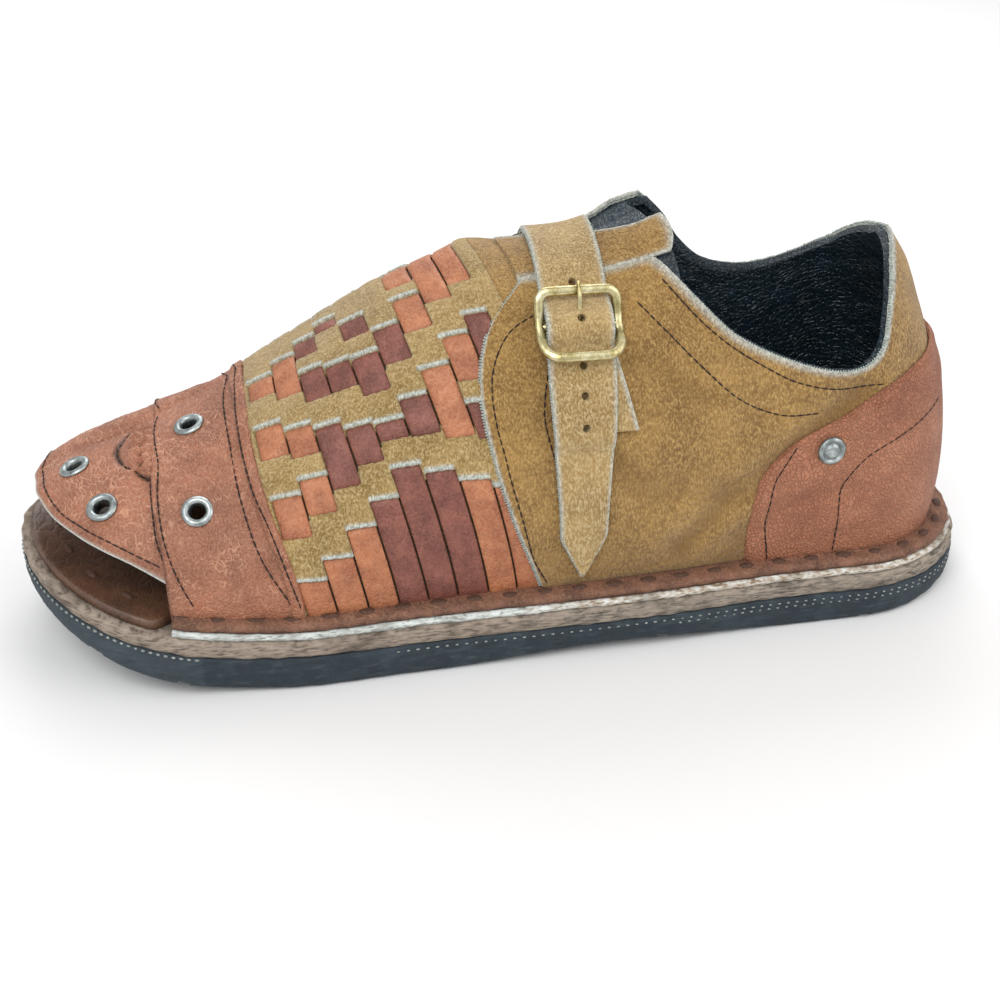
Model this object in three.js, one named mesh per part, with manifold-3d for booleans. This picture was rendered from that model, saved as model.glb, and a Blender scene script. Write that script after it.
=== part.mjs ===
// A left huarache shoe: a stitched-down woven leather upper on a leather midsole and a rubber outsole,
// open at the toe and closed by a strap and a centre-bar buckle on its outer side.
// Millimetres. The toe points to -X, the outer (lateral) side of the left foot is -Y, +Z is up,
// and the outsole stands on z = 0 with the middle of the object's box at x = y = 0.
import * as THREE from 'three';
import { mergeVertices } from 'three/addons/utils/BufferGeometryUtils.js';
import Module from 'manifold-3d';

const wasm = await Module();
wasm.setup();

// ---- driving dimensions ----------------------------------------------------------------------
const LENGTH = 300;                 // outsole, toe tip to heel
const TOE = { centreX: -95, tipY: 10 };      // the toe's round end starts at centreX
const HEEL = { centreX: 105, tipY: 0 };      // the heel's round end starts at centreX
const SPRING = { startX: -62, lift: 17 };    // how far the toe tip stands off the floor
const TOE_BEVEL = { startX: -100, lift: 4 }; // rubber worn away under the toe
const HEEL_BEVEL = { startX: 106, lift: 3 };
const UNDERCUT = { depth: 2, share: 0.35 };  // the rubber's side leans in over this share of its height
const TREAD = { grooveX: [-128, -104, 40, 107], width: 2.8, depth: 1.6 };
const ARCH = { fromX: -35, toX: 84, lift: 3 };

const GAP = 0.3;                    // clearance between pieces that touch
const RUBBER = 11;                  // outsole thickness
const MIDSOLE = 4.6;
const FLANGE = 2;                   // the upper's edge, turned outwards over the midsole
const WELT = 2.6;                   // strip stitched down over that edge
const INSOLE = 3;
const WALL = 2.4;                   // upper: leather and lining together
const QUARTER = 1.7;                // suede quarter over the upper
const COUNTER = 1.7;                // heel counter over the quarter

const MIDSOLE_Z = RUBBER + GAP;
const FLANGE_Z = MIDSOLE_Z + MIDSOLE + GAP;
const WELT_Z = FLANGE_Z + FLANGE + GAP;
// From the sole's edge in to the foot of the upper's wall: between x = from and x = to it grows.
const FEATHER = { fore: 10, rear: 12.5, heel: 15.5, from: -40, to: 40 };
const FLANGE_INSET = 3;             // from the sole's edge in to the flange's edge
const WELT_INSET = 0.4;             // the welt's edge stands this far inside the flange's
const OPEN_X = -106;                // the toe opening reaches back to here

// Half widths of the sole from the x axis.
const SOLE_WIDTHS = [
  { x: -95, lateral: 45.5, medial: 52 },
  { x: -65, lateral: 46.5, medial: 54.5 },
  { x: -30, lateral: 45, medial: 50.5 },
  { x: 5, lateral: 44.5, medial: 42.5 },
  { x: 40, lateral: 43.5, medial: 36.5 },
  { x: 75, lateral: 41, medial: 37.5 },
  { x: 105, lateral: 40.5, medial: 40.5 },
];

// The ridge of the last, from a pole over the toes to one above the heel. `along` is the share of the
// way from toe to heel, and fullness 2 makes a section an ellipse, more a squarer one.
const RIDGE = [
  { along: 0, x: -121, y: 18, z: 53, fullness: 2.1 },
  { along: 0.2, x: -88, y: 24, z: 66, fullness: 2.1 },
  { along: 0.29, x: -64, y: 22, z: 81.5, fullness: 2.2 },
  { along: 0.38, x: -38, y: 18, z: 98.5, fullness: 2.25 },
  { along: 0.47, x: -12, y: 13, z: 111, fullness: 2.3 },
  { along: 0.575, x: 16, y: 11, z: 113, fullness: 2.3 },
  { along: 0.665, x: 42, y: 12, z: 122, fullness: 2.3 },
  { along: 0.74, x: 66, y: 6, z: 128, fullness: 2.3 },
  { along: 0.8, x: 78, y: 2, z: 131, fullness: 2.2 },
  { along: 1, x: 86, y: 0, z: 131, fullness: 2.05 },
];
const TOE_SHARE = 0.2;              // share of `along` given to the round toe, and as much to the heel
const TOE_SQUARENESS = 2.3;
const BELLY = 0.07;                 // how far the walls swell over their foot

// The collar's edge seen from each side.
const LATERAL_RIM = [
  { x: 20, z: 128 }, { x: 30, z: 116 }, { x: 40, z: 112.5 }, { x: 50, z: 103.5 }, { x: 61, z: 93.5 },
  { x: 76, z: 86 }, { x: 91, z: 81.5 }, { x: 101, z: 82 }, { x: 107, z: 88 }, { x: 109, z: 102 },
  { x: 112, z: 115 }, { x: 122, z: 119 },
];
const MEDIAL_RIM = [
  { x: 22, z: 130 }, { x: 34, z: 125 }, { x: 41, z: 122.5 }, { x: 49, z: 116 }, { x: 55, z: 107.5 },
  { x: 64, z: 100 }, { x: 78, z: 97 }, { x: 92, z: 99.5 }, { x: 104, z: 105 }, { x: 110, z: 111 },
  { x: 114, z: 115 }, { x: 122, z: 119 },
];
// The collar's edge at the heel's middle, under the tongue's width.
const BACK_RIM = [{ x: 98, z: 90 }, { x: 107, z: 96 }, { x: 112, z: 115 }, { x: 122, z: 119 }];
// The quarters leave the tongue bare between these.
const THROAT = { lateralY: -7, medialY: 13, fromX: -40, toX: 60, floorZ: 80 };
const TONGUE = { endX: 40, lateralY: -6, medialY: 10 };

// Edge of the toe flap in plan: a rounded end ahead of OPEN_X.
const FLAP = {
  reach: 37, lateralY: -38, medialY: 47, tipY: 12, roundness: 1.65, rearZ: 40, frontZ: 45,
  apexBack: 8, apexDrop: 22, overlap: 30,
};

// Front edges of the overlays seen from the side.
const QUARTER_FRONT = [
  { x: 6, z: 10 }, { x: 2, z: 24 }, { x: -6, z: 46 }, { x: -11.5, z: 66 }, { x: -14, z: 84 },
  { x: -10, z: 98 }, { x: 2, z: 110 }, { x: 16, z: 128 },
];
const COUNTER_EDGE = [
  { x: 69, z: 10 }, { x: 68, z: 36 }, { x: 71, z: 50 }, { x: 80, z: 60 }, { x: 96, z: 68 },
  { x: 112, z: 78 }, { x: 135, z: 86 }, { x: 150, z: 88 },
];

const STRAP = {
  x: 14.5, width: 19, thickness: 2, slack: 0.4, medialZ: 66, tipZ: 27, tipLength: 16,
  holeSlack: 0.5,
};
const BUCKLE = {
  z: 97, width: 25.5, height: 22, bar: 2.8, thick: 2.2, topCorner: 3, lowCorner: 5, bow: 1.2,
  barRadius: 1.1, barZ: 3.2, topZ: 5.4, lowZ: 7.4, hump: 5.3, prong: 0.75,
};
// The prong's climb to the top bar, as shares of the buckle's half height, and its tip past it.
const PRONG = { share: { rise: 0.55, level: 0.8 }, dip: 0.6, tip: 0.8 };
const TAB = {
  width: 17, length: 30, lean: 8, leather: 0.9, slack: 0.4, slot: [2.7, 7, 14],
  ramp: { before: 5, climb: 4, after: 2 },
};

// Eyelets on the toe piece in plan, the flap's pair first, all lateral of the ridge.
const EYELETS = [
  { x: -122.5, y: -16.5 },
  { x: -131, y: 3.5 },
  { x: -95.5, y: -24 },
  { x: -96.5, y: 5 },
];
const EYELET = { outer: 4.7, hole: 2.3, barrel: 2.8, height: 0.9, lift: 0.75, depth: 3.4 };
const RIVET = { x: 91, z: 58, radius: 4.1, height: 1.6, lift: 0.45, shank: 1.3, depth: 1.4 };

const LEATHER = '#b0664a';
const SUEDE = '#a57c3e';
const RUBBER_BLACK = '#2a3a46';
const TAN = '#9a8878';
const BROWN = '#5a3524';
const BRASS = '#b9a46a';
const STEEL = '#9aa0a0';

// ---- small helpers ---------------------------------------------------------------------------
const clamp01 = (value) => Math.min(1, Math.max(0, value));

/** Value of one column of a table at x: a smooth curve through the rows. */
function column(table, key, x, by = 'x') {
  const last = table.length - 1;
  if (x <= table[0][by]) return table[0][key];
  if (x >= table[last][by]) return table[last][key];
  const i = table.findIndex((row) => row[by] > x) - 1;
  const slope = (k) => {
    const a = table[Math.max(0, k - 1)];
    const b = table[Math.min(last, k + 1)];
    return (b[key] - a[key]) / (b[by] - a[by]);
  };
  const span = table[i + 1][by] - table[i][by];
  const t = (x - table[i][by]) / span;
  const [t2, t3] = [t * t, t * t * t];
  return (2 * t3 - 3 * t2 + 1) * table[i][key] + (t3 - 2 * t2 + t) * span * slope(i)
    + (3 * t2 - 2 * t3) * table[i + 1][key] + (t3 - t2) * span * slope(i + 1);
}

/** A closed mesh through rings of points that run round the piece: its ends are filled or joined. */
function skin(rings, looped = false) {
  const count = rings[0].length;
  const positions = rings.flat().flatMap((p) => [p.x, p.y, p.z]);
  const index = [];
  const spans = looped ? rings.length : rings.length - 1;
  for (let r = 0; r < spans; r += 1) {
    const next = ((r + 1) % rings.length) * count;
    for (let i = 0; i < count; i += 1) {
      const j = (i + 1) % count;
      index.push(r * count + i, r * count + j, next + j, r * count + i, next + j, next + i);
    }
  }
  const end = (rings.length - 1) * count;
  for (let i = 1; i < count - 1 && !looped; i += 1) {
    index.push(0, i + 1, i);
    index.push(end, end + i, end + i + 1);
  }
  const geometry = new THREE.BufferGeometry();
  geometry.setAttribute('position', new THREE.Float32BufferAttribute(positions, 3));
  geometry.setIndex(index);
  return geometry;
}

/** The manifold solid of a closed geometry, turned outside out if its faces point in. */
function solid(geometry) {
  const bare = geometry.clone();
  bare.deleteAttribute('normal');
  bare.deleteAttribute('uv');
  const merged = mergeVertices(bare, 1e-4);
  const { array } = merged.attributes.position;
  const source = merged.index.array;
  const corners = [];
  let volume = 0;
  for (let i = 0; i < source.length; i += 3) {
    const [a, b, c] = [source[i], source[i + 1], source[i + 2]];
    if (a === b || b === c || c === a) continue;
    corners.push(a, b, c);
    const [p, q, r] = [a, b, c].map((k) => new THREE.Vector3().fromArray(array, 3 * k));
    volume += p.dot(q.cross(r));
  }
  if (volume < 0) corners.reverse();
  const mesh = new wasm.Mesh({
    numProp: 3,
    vertProperties: Float32Array.from(array),
    triVerts: Uint32Array.from(corners),
  });
  return new wasm.Manifold(mesh);
}

/** A named THREE mesh of a manifold solid. */
function piece(name, body, colour, roughness = 0.8, metalness = 0) {
  const { vertProperties, triVerts } = body.getMesh();
  const geometry = new THREE.BufferGeometry();
  geometry.setAttribute('position', new THREE.BufferAttribute(vertProperties, 3));
  geometry.setIndex(new THREE.BufferAttribute(triVerts, 1));
  geometry.computeVertexNormals();
  const material = new THREE.MeshStandardMaterial({ color: colour, roughness, metalness });
  const mesh = new THREE.Mesh(geometry, material);
  mesh.name = name;
  return mesh;
}

/** A prism of an outline given in x and z, between two y planes. */
function sidePrism(outline, fromY, toY) {
  const shape = new THREE.Shape(outline.map((p) => new THREE.Vector2(p.x, p.z)));
  const prism = new THREE.ExtrudeGeometry(shape, { depth: toY - fromY, bevelEnabled: false });
  prism.rotateX(Math.PI / 2);
  prism.translate(0, toY, 0);
  return solid(prism);
}

const box = (x0, x1, y0, y1, z0, z1) => solid(
  new THREE.BoxGeometry(x1 - x0, y1 - y0, z1 - z0).translate((x0 + x1) / 2, (y0 + y1) / 2, (z0 + z1) / 2),
);

/** The smooth line through a table's x and z columns, at the given step in x. */
function tableLine(table, steps) {
  const points = table.map((row) => new THREE.Vector3(row.x, 0, row.z));
  const curve = new THREE.CatmullRomCurve3(points, false, 'centripetal');
  return curve.getSpacedPoints(steps).map((p) => ({ x: p.x, z: p.z }));
}

// ---- the sole's outline and heights -----------------------------------------------------------
/** Height that toe spring adds to every layer of the sole. */
const spring = (x) => SPRING.lift * clamp01((SPRING.startX - x) / (LENGTH / 2 + SPRING.startX)) ** 2;

/** Underside of the rubber: flat under ball and heel, off the floor at toe, arch and heel edge. */
function treadZ(x) {
  const bevel = TOE_BEVEL.lift * clamp01((TOE_BEVEL.startX - x) / (LENGTH / 2 + TOE_BEVEL.startX)) ** 2;
  const heel = HEEL_BEVEL.lift * clamp01((x - HEEL_BEVEL.startX) / (LENGTH / 2 - HEEL_BEVEL.startX)) ** 2;
  const along = clamp01((x - ARCH.fromX) / (ARCH.toX - ARCH.fromX));
  return spring(x) + bevel + heel + ARCH.lift * Math.sin(Math.PI * along) ** 2;
}

/** Share of the full width left at x by the round toe or heel of an outline set in by `inset`. */
function roundEnd(x, inset) {
  const end = x < 0 ? TOE : HEEL;
  const radius = LENGTH / 2 - Math.abs(end.centreX) - inset;
  const past = (Math.abs(x) - Math.abs(end.centreX)) / radius;
  return past <= 0 ? 1 : Math.sqrt(Math.max(0, 1 - past * past));
}

/** y of the sole's edge at x, set in by `inset`; side is -1 for lateral and 1 for medial. */
function edgeY(x, side, inset) {
  const tipY = (x < 0 ? TOE : HEEL).tipY;
  const full = side * (column(SOLE_WIDTHS, side < 0 ? 'lateral' : 'medial', x) - inset);
  return tipY * (1 - roundEnd(x, inset)) * (x < 0 || x > HEEL.centreX ? 1 : 0) + full * roundEnd(x, inset);
}

/** Inset of the wall's foot at x: more behind, where the quarters and counter lie on the wall. */
const feather = (x) => THREE.MathUtils.lerp(
  FEATHER.fore, FEATHER.rear, clamp01((x - FEATHER.from) / (FEATHER.to - FEATHER.from)),
);

/** Stations along x for an outline set in by `inset`: close at the round ends. */
function stations(inset, endSteps = 7, middleSteps = 10) {
  const xs = [];
  const toeRadius = LENGTH / 2 + TOE.centreX - inset;
  const heelRadius = LENGTH / 2 - HEEL.centreX - inset;
  const turn = (i) => (i / endSteps) * (Math.PI / 2);
  for (let i = 0; i < endSteps; i += 1) xs.push(TOE.centreX - toeRadius * Math.cos(turn(i)));
  for (let i = 0; i <= middleSteps; i += 1) {
    xs.push(THREE.MathUtils.lerp(TOE.centreX, HEEL.centreX, i / middleSteps));
  }
  for (let i = 1; i <= endSteps; i += 1) xs.push(HEEL.centreX + heelRadius * Math.sin(turn(i)));
  return xs;
}

/** A layer of the sole between two heights, each a function of x, its underside set in by `undercut`. */
function slab(inset, bottomZ, topZ, undercut = 0) {
  return solid(skin(stations(inset).map((x) => {
    const [lateral, medial] = [edgeY(x, -1, inset), edgeY(x, 1, inset)];
    const tuck = Math.min(undercut, (medial - lateral) / 3);
    const [low, high] = [bottomZ(x), topZ(x)];
    const corners = [[lateral + tuck, low], [lateral, high], [medial, high], [medial - tuck, low]];
    if (undercut) {
      const lipZ = THREE.MathUtils.lerp(low, high, UNDERCUT.share);
      corners.splice(1, 0, [lateral, lipZ]);
      corners.splice(4, 0, [medial, lipZ]);
    }
    return corners.map(([y, z]) => new THREE.Vector3(x, y, z));
  })));
}

// ---- the last: ribs from the sole's feather line up to the ridge -------------------------------
/**
 * One section of the last: where its lateral and medial ribs start and the ridge point they share.
 * `along` runs from 0 at the toe's centre line to 1 at the heel's.
 */
function section(along) {
  const ridge = Object.fromEntries(
    ['x', 'y', 'z', 'fullness'].map((key) => [key, column(RIDGE, key, along, 'along')]),
  );
  if (along < TOE_SHARE) {
    const turn = (along / TOE_SHARE) * (Math.PI / 2);
    const radius = LENGTH / 2 + TOE.centreX;
    const power = 2 / TOE_SQUARENESS;
    const footX = TOE.centreX - radius * Math.max(0, Math.cos(turn)) ** power;
    const wideY = (side) => edgeY(TOE.centreX, side, FEATHER.fore);
    const footY = (side) => THREE.MathUtils.lerp(TOE.tipY, wideY(side), Math.sin(turn) ** power);
    return { footX, lateral: footY(-1), medial: footY(1), ridge };
  }
  const past = (along - TOE_SHARE) / (1 - 2 * TOE_SHARE);
  const turn = ((1 - along) / TOE_SHARE) * (Math.PI / 2);
  if (past > 1) {
    const footX = HEEL.centreX + (LENGTH / 2 - HEEL.centreX - FEATHER.heel) * Math.cos(turn);
    const footY = (side) => edgeY(HEEL.centreX, side, FEATHER.rear) * Math.sin(turn);
    return { footX, lateral: footY(-1), medial: footY(1), ridge };
  }
  const footX = THREE.MathUtils.lerp(TOE.centreX, HEEL.centreX, past);
  const footY = (side) => edgeY(footX, side, feather(footX));
  return { footX, lateral: footY(-1), medial: footY(1), ridge };
}

/** A point on the last grown by `grow`: rise is 0 at the foot of the wall and 1 on the ridge. */
function lastPoint(at, side, rise, grow, drop) {
  const { footX, ridge } = at;
  const footY = side < 0 ? at.lateral : at.medial;
  const out = new THREE.Vector2(footX - ridge.x, footY - ridge.y);
  const reach = out.length();
  out.normalize();
  const angle = rise * Math.PI / 2;
  const across = Math.max(0, Math.cos(angle)) ** (2 / ridge.fullness);
  const up = Math.sin(angle) ** (2 / ridge.fullness);
  const swell = 1 + BELLY * Math.sin(Math.PI * up ** 0.6);
  const footZ = FLANGE_Z + spring(footX) - drop;
  const far = (reach + grow) * across * swell;
  return new THREE.Vector3(
    ridge.x + out.x * far, ridge.y + out.y * far, footZ + (ridge.z + grow - footZ) * up,
  );
}

/** The closed solid of the last grown by `grow` outwards, with its foot `drop` lower. */
function lastForm(grow, drop = 0, sections = 32, steps = 9) {
  const rings = [];
  for (let k = 0; k <= sections; k += 1) {
    const at = section(k / sections);
    const ring = [];
    for (let i = 0; i <= steps; i += 1) ring.push(lastPoint(at, -1, i / steps, grow, drop));
    for (let i = steps - 1; i >= 0; i -= 1) ring.push(lastPoint(at, 1, i / steps, grow, drop));
    rings.push(ring);
  }
  return solid(skin(rings));
}

// ---- cutters ----------------------------------------------------------------------------------
const FAR = 200;                    // clear of the whole shoe
const PAST = 170;                   // x behind the heel
const TOE_TOP = 60;                 // above the insole's front, below the flap's root

/** Everything above the collar's edge. */
function collarCut() {
  const above = (table) => [
    ...tableLine(table, 26), { x: PAST, z: table.at(-1).z }, { x: PAST, z: FAR }, { x: table[0].x, z: FAR },
  ];
  const lateral = sidePrism(above(LATERAL_RIM), -FAR, TONGUE.lateralY);
  const medial = sidePrism(above(MEDIAL_RIM), TONGUE.medialY, FAR);
  const middle = sidePrism([
    { x: TONGUE.endX, z: BACK_RIM[0].z }, ...BACK_RIM, { x: PAST, z: BACK_RIM.at(-1).z },
    { x: PAST, z: FAR }, { x: TONGUE.endX, z: FAR },
  ], TONGUE.lateralY - 1, TONGUE.medialY + 1);
  return lateral.add(medial).add(middle);
}

/** Everything outside the toe flap's edge, ahead of the toe opening, cut square to the flap. */
function toeCut() {
  const steps = 16;
  const edge = [];
  for (let i = 0; i <= steps; i += 1) {
    const angle = (i / steps) * Math.PI;
    const ahead = Math.sin(angle) ** (2 / FLAP.roundness);
    const beside = Math.abs(Math.cos(angle)) ** (2 / FLAP.roundness);
    const sideY = i < steps / 2 ? FLAP.lateralY : FLAP.medialY;
    edge.push(new THREE.Vector3(
      OPEN_X - FLAP.reach * ahead,
      THREE.MathUtils.lerp(FLAP.tipY, sideY, beside),
      THREE.MathUtils.lerp(FLAP.rearZ, FLAP.frontZ, ahead),
    ));
  }
  edge.unshift(new THREE.Vector3(OPEN_X + FLAP.overlap, FLAP.lateralY, FLAP.rearZ));
  edge.push(new THREE.Vector3(OPEN_X + FLAP.overlap, FLAP.medialY, FLAP.rearZ));
  const apex = new THREE.Vector3(OPEN_X + FLAP.apexBack, FLAP.tipY, FLAP.rearZ - FLAP.apexDrop);
  const flare = edge.map((p) => apex.clone().lerp(p, 3));
  const lid = flare.map((p) => new THREE.Vector3(p.x, p.y, FAR));
  const keep = solid(skin([edge.map(() => apex), flare, lid]));
  return box(-FAR, OPEN_X, -FAR, FAR, -1, FAR - 1).subtract(keep);
}

/** The space behind an overlay's front edge. */
function behind(table, fromY, toY) {
  const line = tableLine(table, 16);
  const top = line[line.length - 1].z;
  const rear = [{ x: PAST, z: Math.max(top, line[0].z) }, { x: PAST, z: line[0].z }];
  return sidePrism([...line, ...rear], fromY, toY);
}

/** Everything clear above the welt. */
const aboveWelt = () => box(-FAR, FAR, -FAR, FAR, WELT_Z + WELT + GAP, FAR);

// ---- the pieces -------------------------------------------------------------------------------
const layer = (z) => (x) => z + spring(x);
const lastOuter = lastForm(0);
const FOOT_DROP = 3;                // cutters reach this far below the wall's foot
const lastInner = lastForm(-WALL, FOOT_DROP);
const collar = collarCut();

function outsole() {
  let body = slab(0, treadZ, layer(RUBBER), UNDERCUT.depth);
  for (const x of TREAD.grooveX) {
    const [half, floor] = [TREAD.width / 2, treadZ(x)];
    body = body.subtract(box(x - half, x + half, -FAR, FAR, floor - FAR, floor + TREAD.depth));
  }
  return piece('outsole', body, RUBBER_BLACK, 0.85);
}

const midsole = () => piece('midsole', slab(0.6, layer(MIDSOLE_Z), layer(MIDSOLE_Z + MIDSOLE)), TAN, 0.9);

function insole() {
  const body = slab(FLANGE_INSET, layer(FLANGE_Z), layer(FLANGE_Z + INSOLE));
  const inside = lastForm(-WALL - GAP, FOOT_DROP).add(box(-FAR, OPEN_X - GAP, -FAR, FAR, 0, TOE_TOP));
  return piece('insole', body.intersect(inside), BROWN, 0.6);
}

function upper() {
  const edge = slab(FLANGE_INSET, layer(FLANGE_Z), layer(FLANGE_Z + FLANGE));
  const flange = edge.subtract(lastForm(-WALL / 2, FOOT_DROP));
  const walls = lastOuter.subtract(lastInner);
  let body = walls.add(flange).subtract(toeCut()).subtract(collar);
  for (const place of eyeletSeats) body = body.subtract(post(EYELET.barrel + GAP, -8, 4, place));
  return piece('upper', body, LEATHER, 0.7);
}

function welt() {
  const strip = slab(FLANGE_INSET + WELT_INSET, layer(WELT_Z), layer(WELT_Z + WELT));
  const inside = lastForm(GAP, FOOT_DROP).add(box(-FAR, OPEN_X, -FAR, FAR, 0, TOE_TOP));
  return piece('welt', strip.subtract(inside), BROWN, 0.7);
}

function quarters() {
  const shell = lastForm(GAP + QUARTER, 0).subtract(lastForm(GAP, 1));
  const throat = box(THROAT.fromX, THROAT.toX, THROAT.lateralY, THROAT.medialY, THROAT.floorZ, FAR);
  const trimmed = shell.intersect(aboveWelt()).subtract(collar).subtract(throat);
  return [
    piece('quarter_lateral', trimmed.intersect(behind(QUARTER_FRONT, -FAR, -GAP / 2)), SUEDE, 0.95),
    piece('quarter_medial', trimmed.intersect(behind(QUARTER_FRONT, GAP / 2, FAR)), SUEDE, 0.95),
  ];
}

function heelCounter() {
  const inner = 2 * GAP + QUARTER;
  const shell = lastForm(inner + COUNTER, 0).subtract(lastForm(inner, 1));
  const rear = [{ x: PAST, z: COUNTER_EDGE.at(-1).z }, { x: PAST, z: COUNTER_EDGE[0].z }];
  const region = sidePrism([...tableLine(COUNTER_EDGE, 16), ...rear], -FAR, FAR);
  let body = shell.intersect(region).intersect(aboveWelt());
  for (const place of rivetSeats) body = body.subtract(post(RIVET.shank + GAP, -4, 4, place));
  return piece('heel_counter', body, LEATHER, 0.6);
}

// ---- places on the upper ----------------------------------------------------------------------
/** The rib point at a given rise whose x is `x`, on the last grown by `grow`. */
function pointAtX(x, side, rise, grow) {
  let [low, high] = [0, 1];
  for (let i = 0; i < 30; i += 1) {
    const middle = (low + high) / 2;
    if (lastPoint(section(middle), side, rise, grow, 0).x < x) low = middle;
    else high = middle;
  }
  return lastPoint(section(low), side, rise, grow, 0);
}

/** Rise at which the rib point at `x` reaches a wanted value of y or z. */
function riseFor(x, side, key, value, grow) {
  let [low, high] = [0.02, 1];
  const rising = key === 'z' ? 1 : -side;
  for (let i = 0; i < 30; i += 1) {
    const middle = (low + high) / 2;
    if ((pointAtX(x, side, middle, grow)[key] - value) * rising < 0) low = middle;
    else high = middle;
  }
  return low;
}

/** Origin and axes on the upper's skin: X runs heelwards, Y up the wall and Z out of it. */
function seat(x, side, rise, grow) {
  const step = 0.02;
  const origin = pointAtX(x, side, rise, grow);
  const upper = pointAtX(x, side, Math.min(1, rise + step), grow);
  const up = upper.sub(pointAtX(x, side, rise - step, grow)).normalize();
  const along = pointAtX(x + 2, side, rise, grow).sub(pointAtX(x - 2, side, rise, grow)).normalize();
  const out = along.clone().cross(up).normalize().multiplyScalar(side < 0 ? 1 : -1);
  const heelwards = up.clone().cross(out);
  return new THREE.Matrix4().makeBasis(heelwards, up, out).setPosition(origin);
}

/** A closed lathe turned about its seat's Z axis from [radius, height] pairs. */
function turned(profile, place, segments = 16) {
  const lathe = new THREE.LatheGeometry(profile.map(([r, z]) => new THREE.Vector2(r, z)), segments);
  return solid(lathe.rotateX(Math.PI / 2).applyMatrix4(place));
}

const post = (radius, low, high, place) => turned(
  [[0, low], [radius, low], [radius, high], [0, high]], place, 12,
);

// ---- strap and buckle -------------------------------------------------------------------------
const skinGrow = GAP + QUARTER;     // outer face of the quarters
const buckleRise = riseFor(STRAP.x, -1, 'z', BUCKLE.z, skinGrow);
const buckleSeat = seat(STRAP.x, -1, buckleRise, skinGrow);
const toBuckle = buckleSeat.clone().invert();

/** Lift of the strap off the quarter, `up` millimetres above the buckle's middle bar. */
function strapLift(up) {
  const reach = BUCKLE.height / 2;
  const hump = Math.abs(up) < reach ? BUCKLE.hump * Math.cos((Math.PI * up) / (2 * reach)) ** 2 : 0;
  const { before, climb, after } = TAB.ramp;
  const onTab = clamp01((up + TAB.length + before) / climb) * clamp01(after - up);
  const overTab = (2 * TAB.leather + TAB.slack) * onTab;
  return Math.max(hump, overTab);
}

/** The strap's cross rows from the medial end over the ridge to the tip: each a place and a lift. */
function strapRows() {
  const rows = [];
  const add = (side, rise) => {
    const middle = pointAtX(STRAP.x, side, rise, skinGrow);
    const lift = side < 0 ? strapLift(middle.clone().applyMatrix4(toBuckle).y) : 0;
    rows.push({ side, rise, middle, lift });
  };
  const medialStart = riseFor(STRAP.x, 1, 'z', STRAP.medialZ, skinGrow);
  const lateralEnd = riseFor(STRAP.x, -1, 'z', STRAP.tipZ, skinGrow);
  for (let i = 0; i <= 7; i += 1) add(1, THREE.MathUtils.lerp(medialStart, 0.96, i / 7));
  for (let i = 0; i <= 34; i += 1) add(-1, THREE.MathUtils.lerp(0.96, lateralEnd, i / 34));
  return rows;
}

function strap(prongPath) {
  const rows = strapRows();
  const tip = rows[rows.length - 1].middle;
  const rings = rows.map(({ side, rise, middle, lift }) => {
    const half = (STRAP.width / 2) * Math.min(1, 0.04 + middle.distanceTo(tip) / STRAP.tipLength);
    const corner = (dx, height) => {
      const place = seat(STRAP.x + dx, side, rise, skinGrow);
      return new THREE.Vector3(0, 0, GAP + STRAP.slack + lift + height).applyMatrix4(place);
    };
    const top = STRAP.thickness;
    return [corner(-half, 0), corner(half, 0), corner(half, top), corner(-half, top)];
  });
  const hole = wire(prongPath, BUCKLE.prong + STRAP.holeSlack);
  return piece('strap', solid(skin(rings)).subtract(hole), SUEDE, 0.95);
}

/** A round wire along a path given in the buckle's own axes. */
function wire(path, radius) {
  const circle = new THREE.Shape().absarc(0, 0, radius, 0, 2 * Math.PI);
  const curve = new THREE.CatmullRomCurve3(path, false, 'centripetal');
  const options = { extrudePath: curve, steps: path.length * 3, curveSegments: 4, bevelEnabled: false };
  return solid(new THREE.ExtrudeGeometry(circle, options).applyMatrix4(buckleSeat));
}

/** The buckle's frame: a bowed, rounded loop with a straight middle bar. */
function buckleFrame() {
  const [halfWidth, halfHeight] = [(BUCKLE.width - BUCKLE.bar) / 2, (BUCKLE.height - BUCKLE.bar) / 2];
  const corner = (cx, cy, radius, start) => [0, 1, 2, 3].map((i) => {
    const angle = start + (i / 3) * (Math.PI / 2);
    return [cx + radius * Math.cos(angle), cy + radius * Math.sin(angle)];
  });
  const [small, large] = [BUCKLE.topCorner, BUCKLE.lowCorner];
  const outline = [
    ...corner(halfWidth - small, halfHeight - small, small, 0),
    ...corner(small - halfWidth, halfHeight - small, small, Math.PI / 2),
    [-halfWidth, 0],
    ...corner(large - halfWidth, large - halfHeight, large, Math.PI),
    ...corner(halfWidth - large, large - halfHeight, large, 1.5 * Math.PI),
    [halfWidth, 0],
  ];
  const height = (y) => {
    const endZ = y > 0 ? BUCKLE.topZ : BUCKLE.lowZ;
    return THREE.MathUtils.lerp(BUCKLE.barZ, endZ, Math.abs(y / halfHeight) ** BUCKLE.bow);
  };
  const rings = outline.map(([x, y], i) => {
    const [before, after] = [outline.at(i - 1), outline[(i + 1) % outline.length]];
    const outward = new THREE.Vector2(after[1] - before[1], before[0] - after[0]).normalize();
    return Array.from({ length: 8 }, (_, k) => {
      const turn = (k / 8) * 2 * Math.PI;
      const across = (BUCKLE.bar / 2) * Math.cos(turn);
      return new THREE.Vector3(
        x + outward.x * across, y + outward.y * across, height(y) + (BUCKLE.thick / 2) * Math.sin(turn),
      );
    });
  });
  const loop = solid(skin(rings, true).applyMatrix4(buckleSeat));
  const ends = [-halfWidth, 0, halfWidth].map((x) => new THREE.Vector3(x, 0, BUCKLE.barZ));
  return piece('buckle_frame', loop.add(wire(ends, BUCKLE.barRadius)), BRASS, 0.35, 0.9);
}

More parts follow.
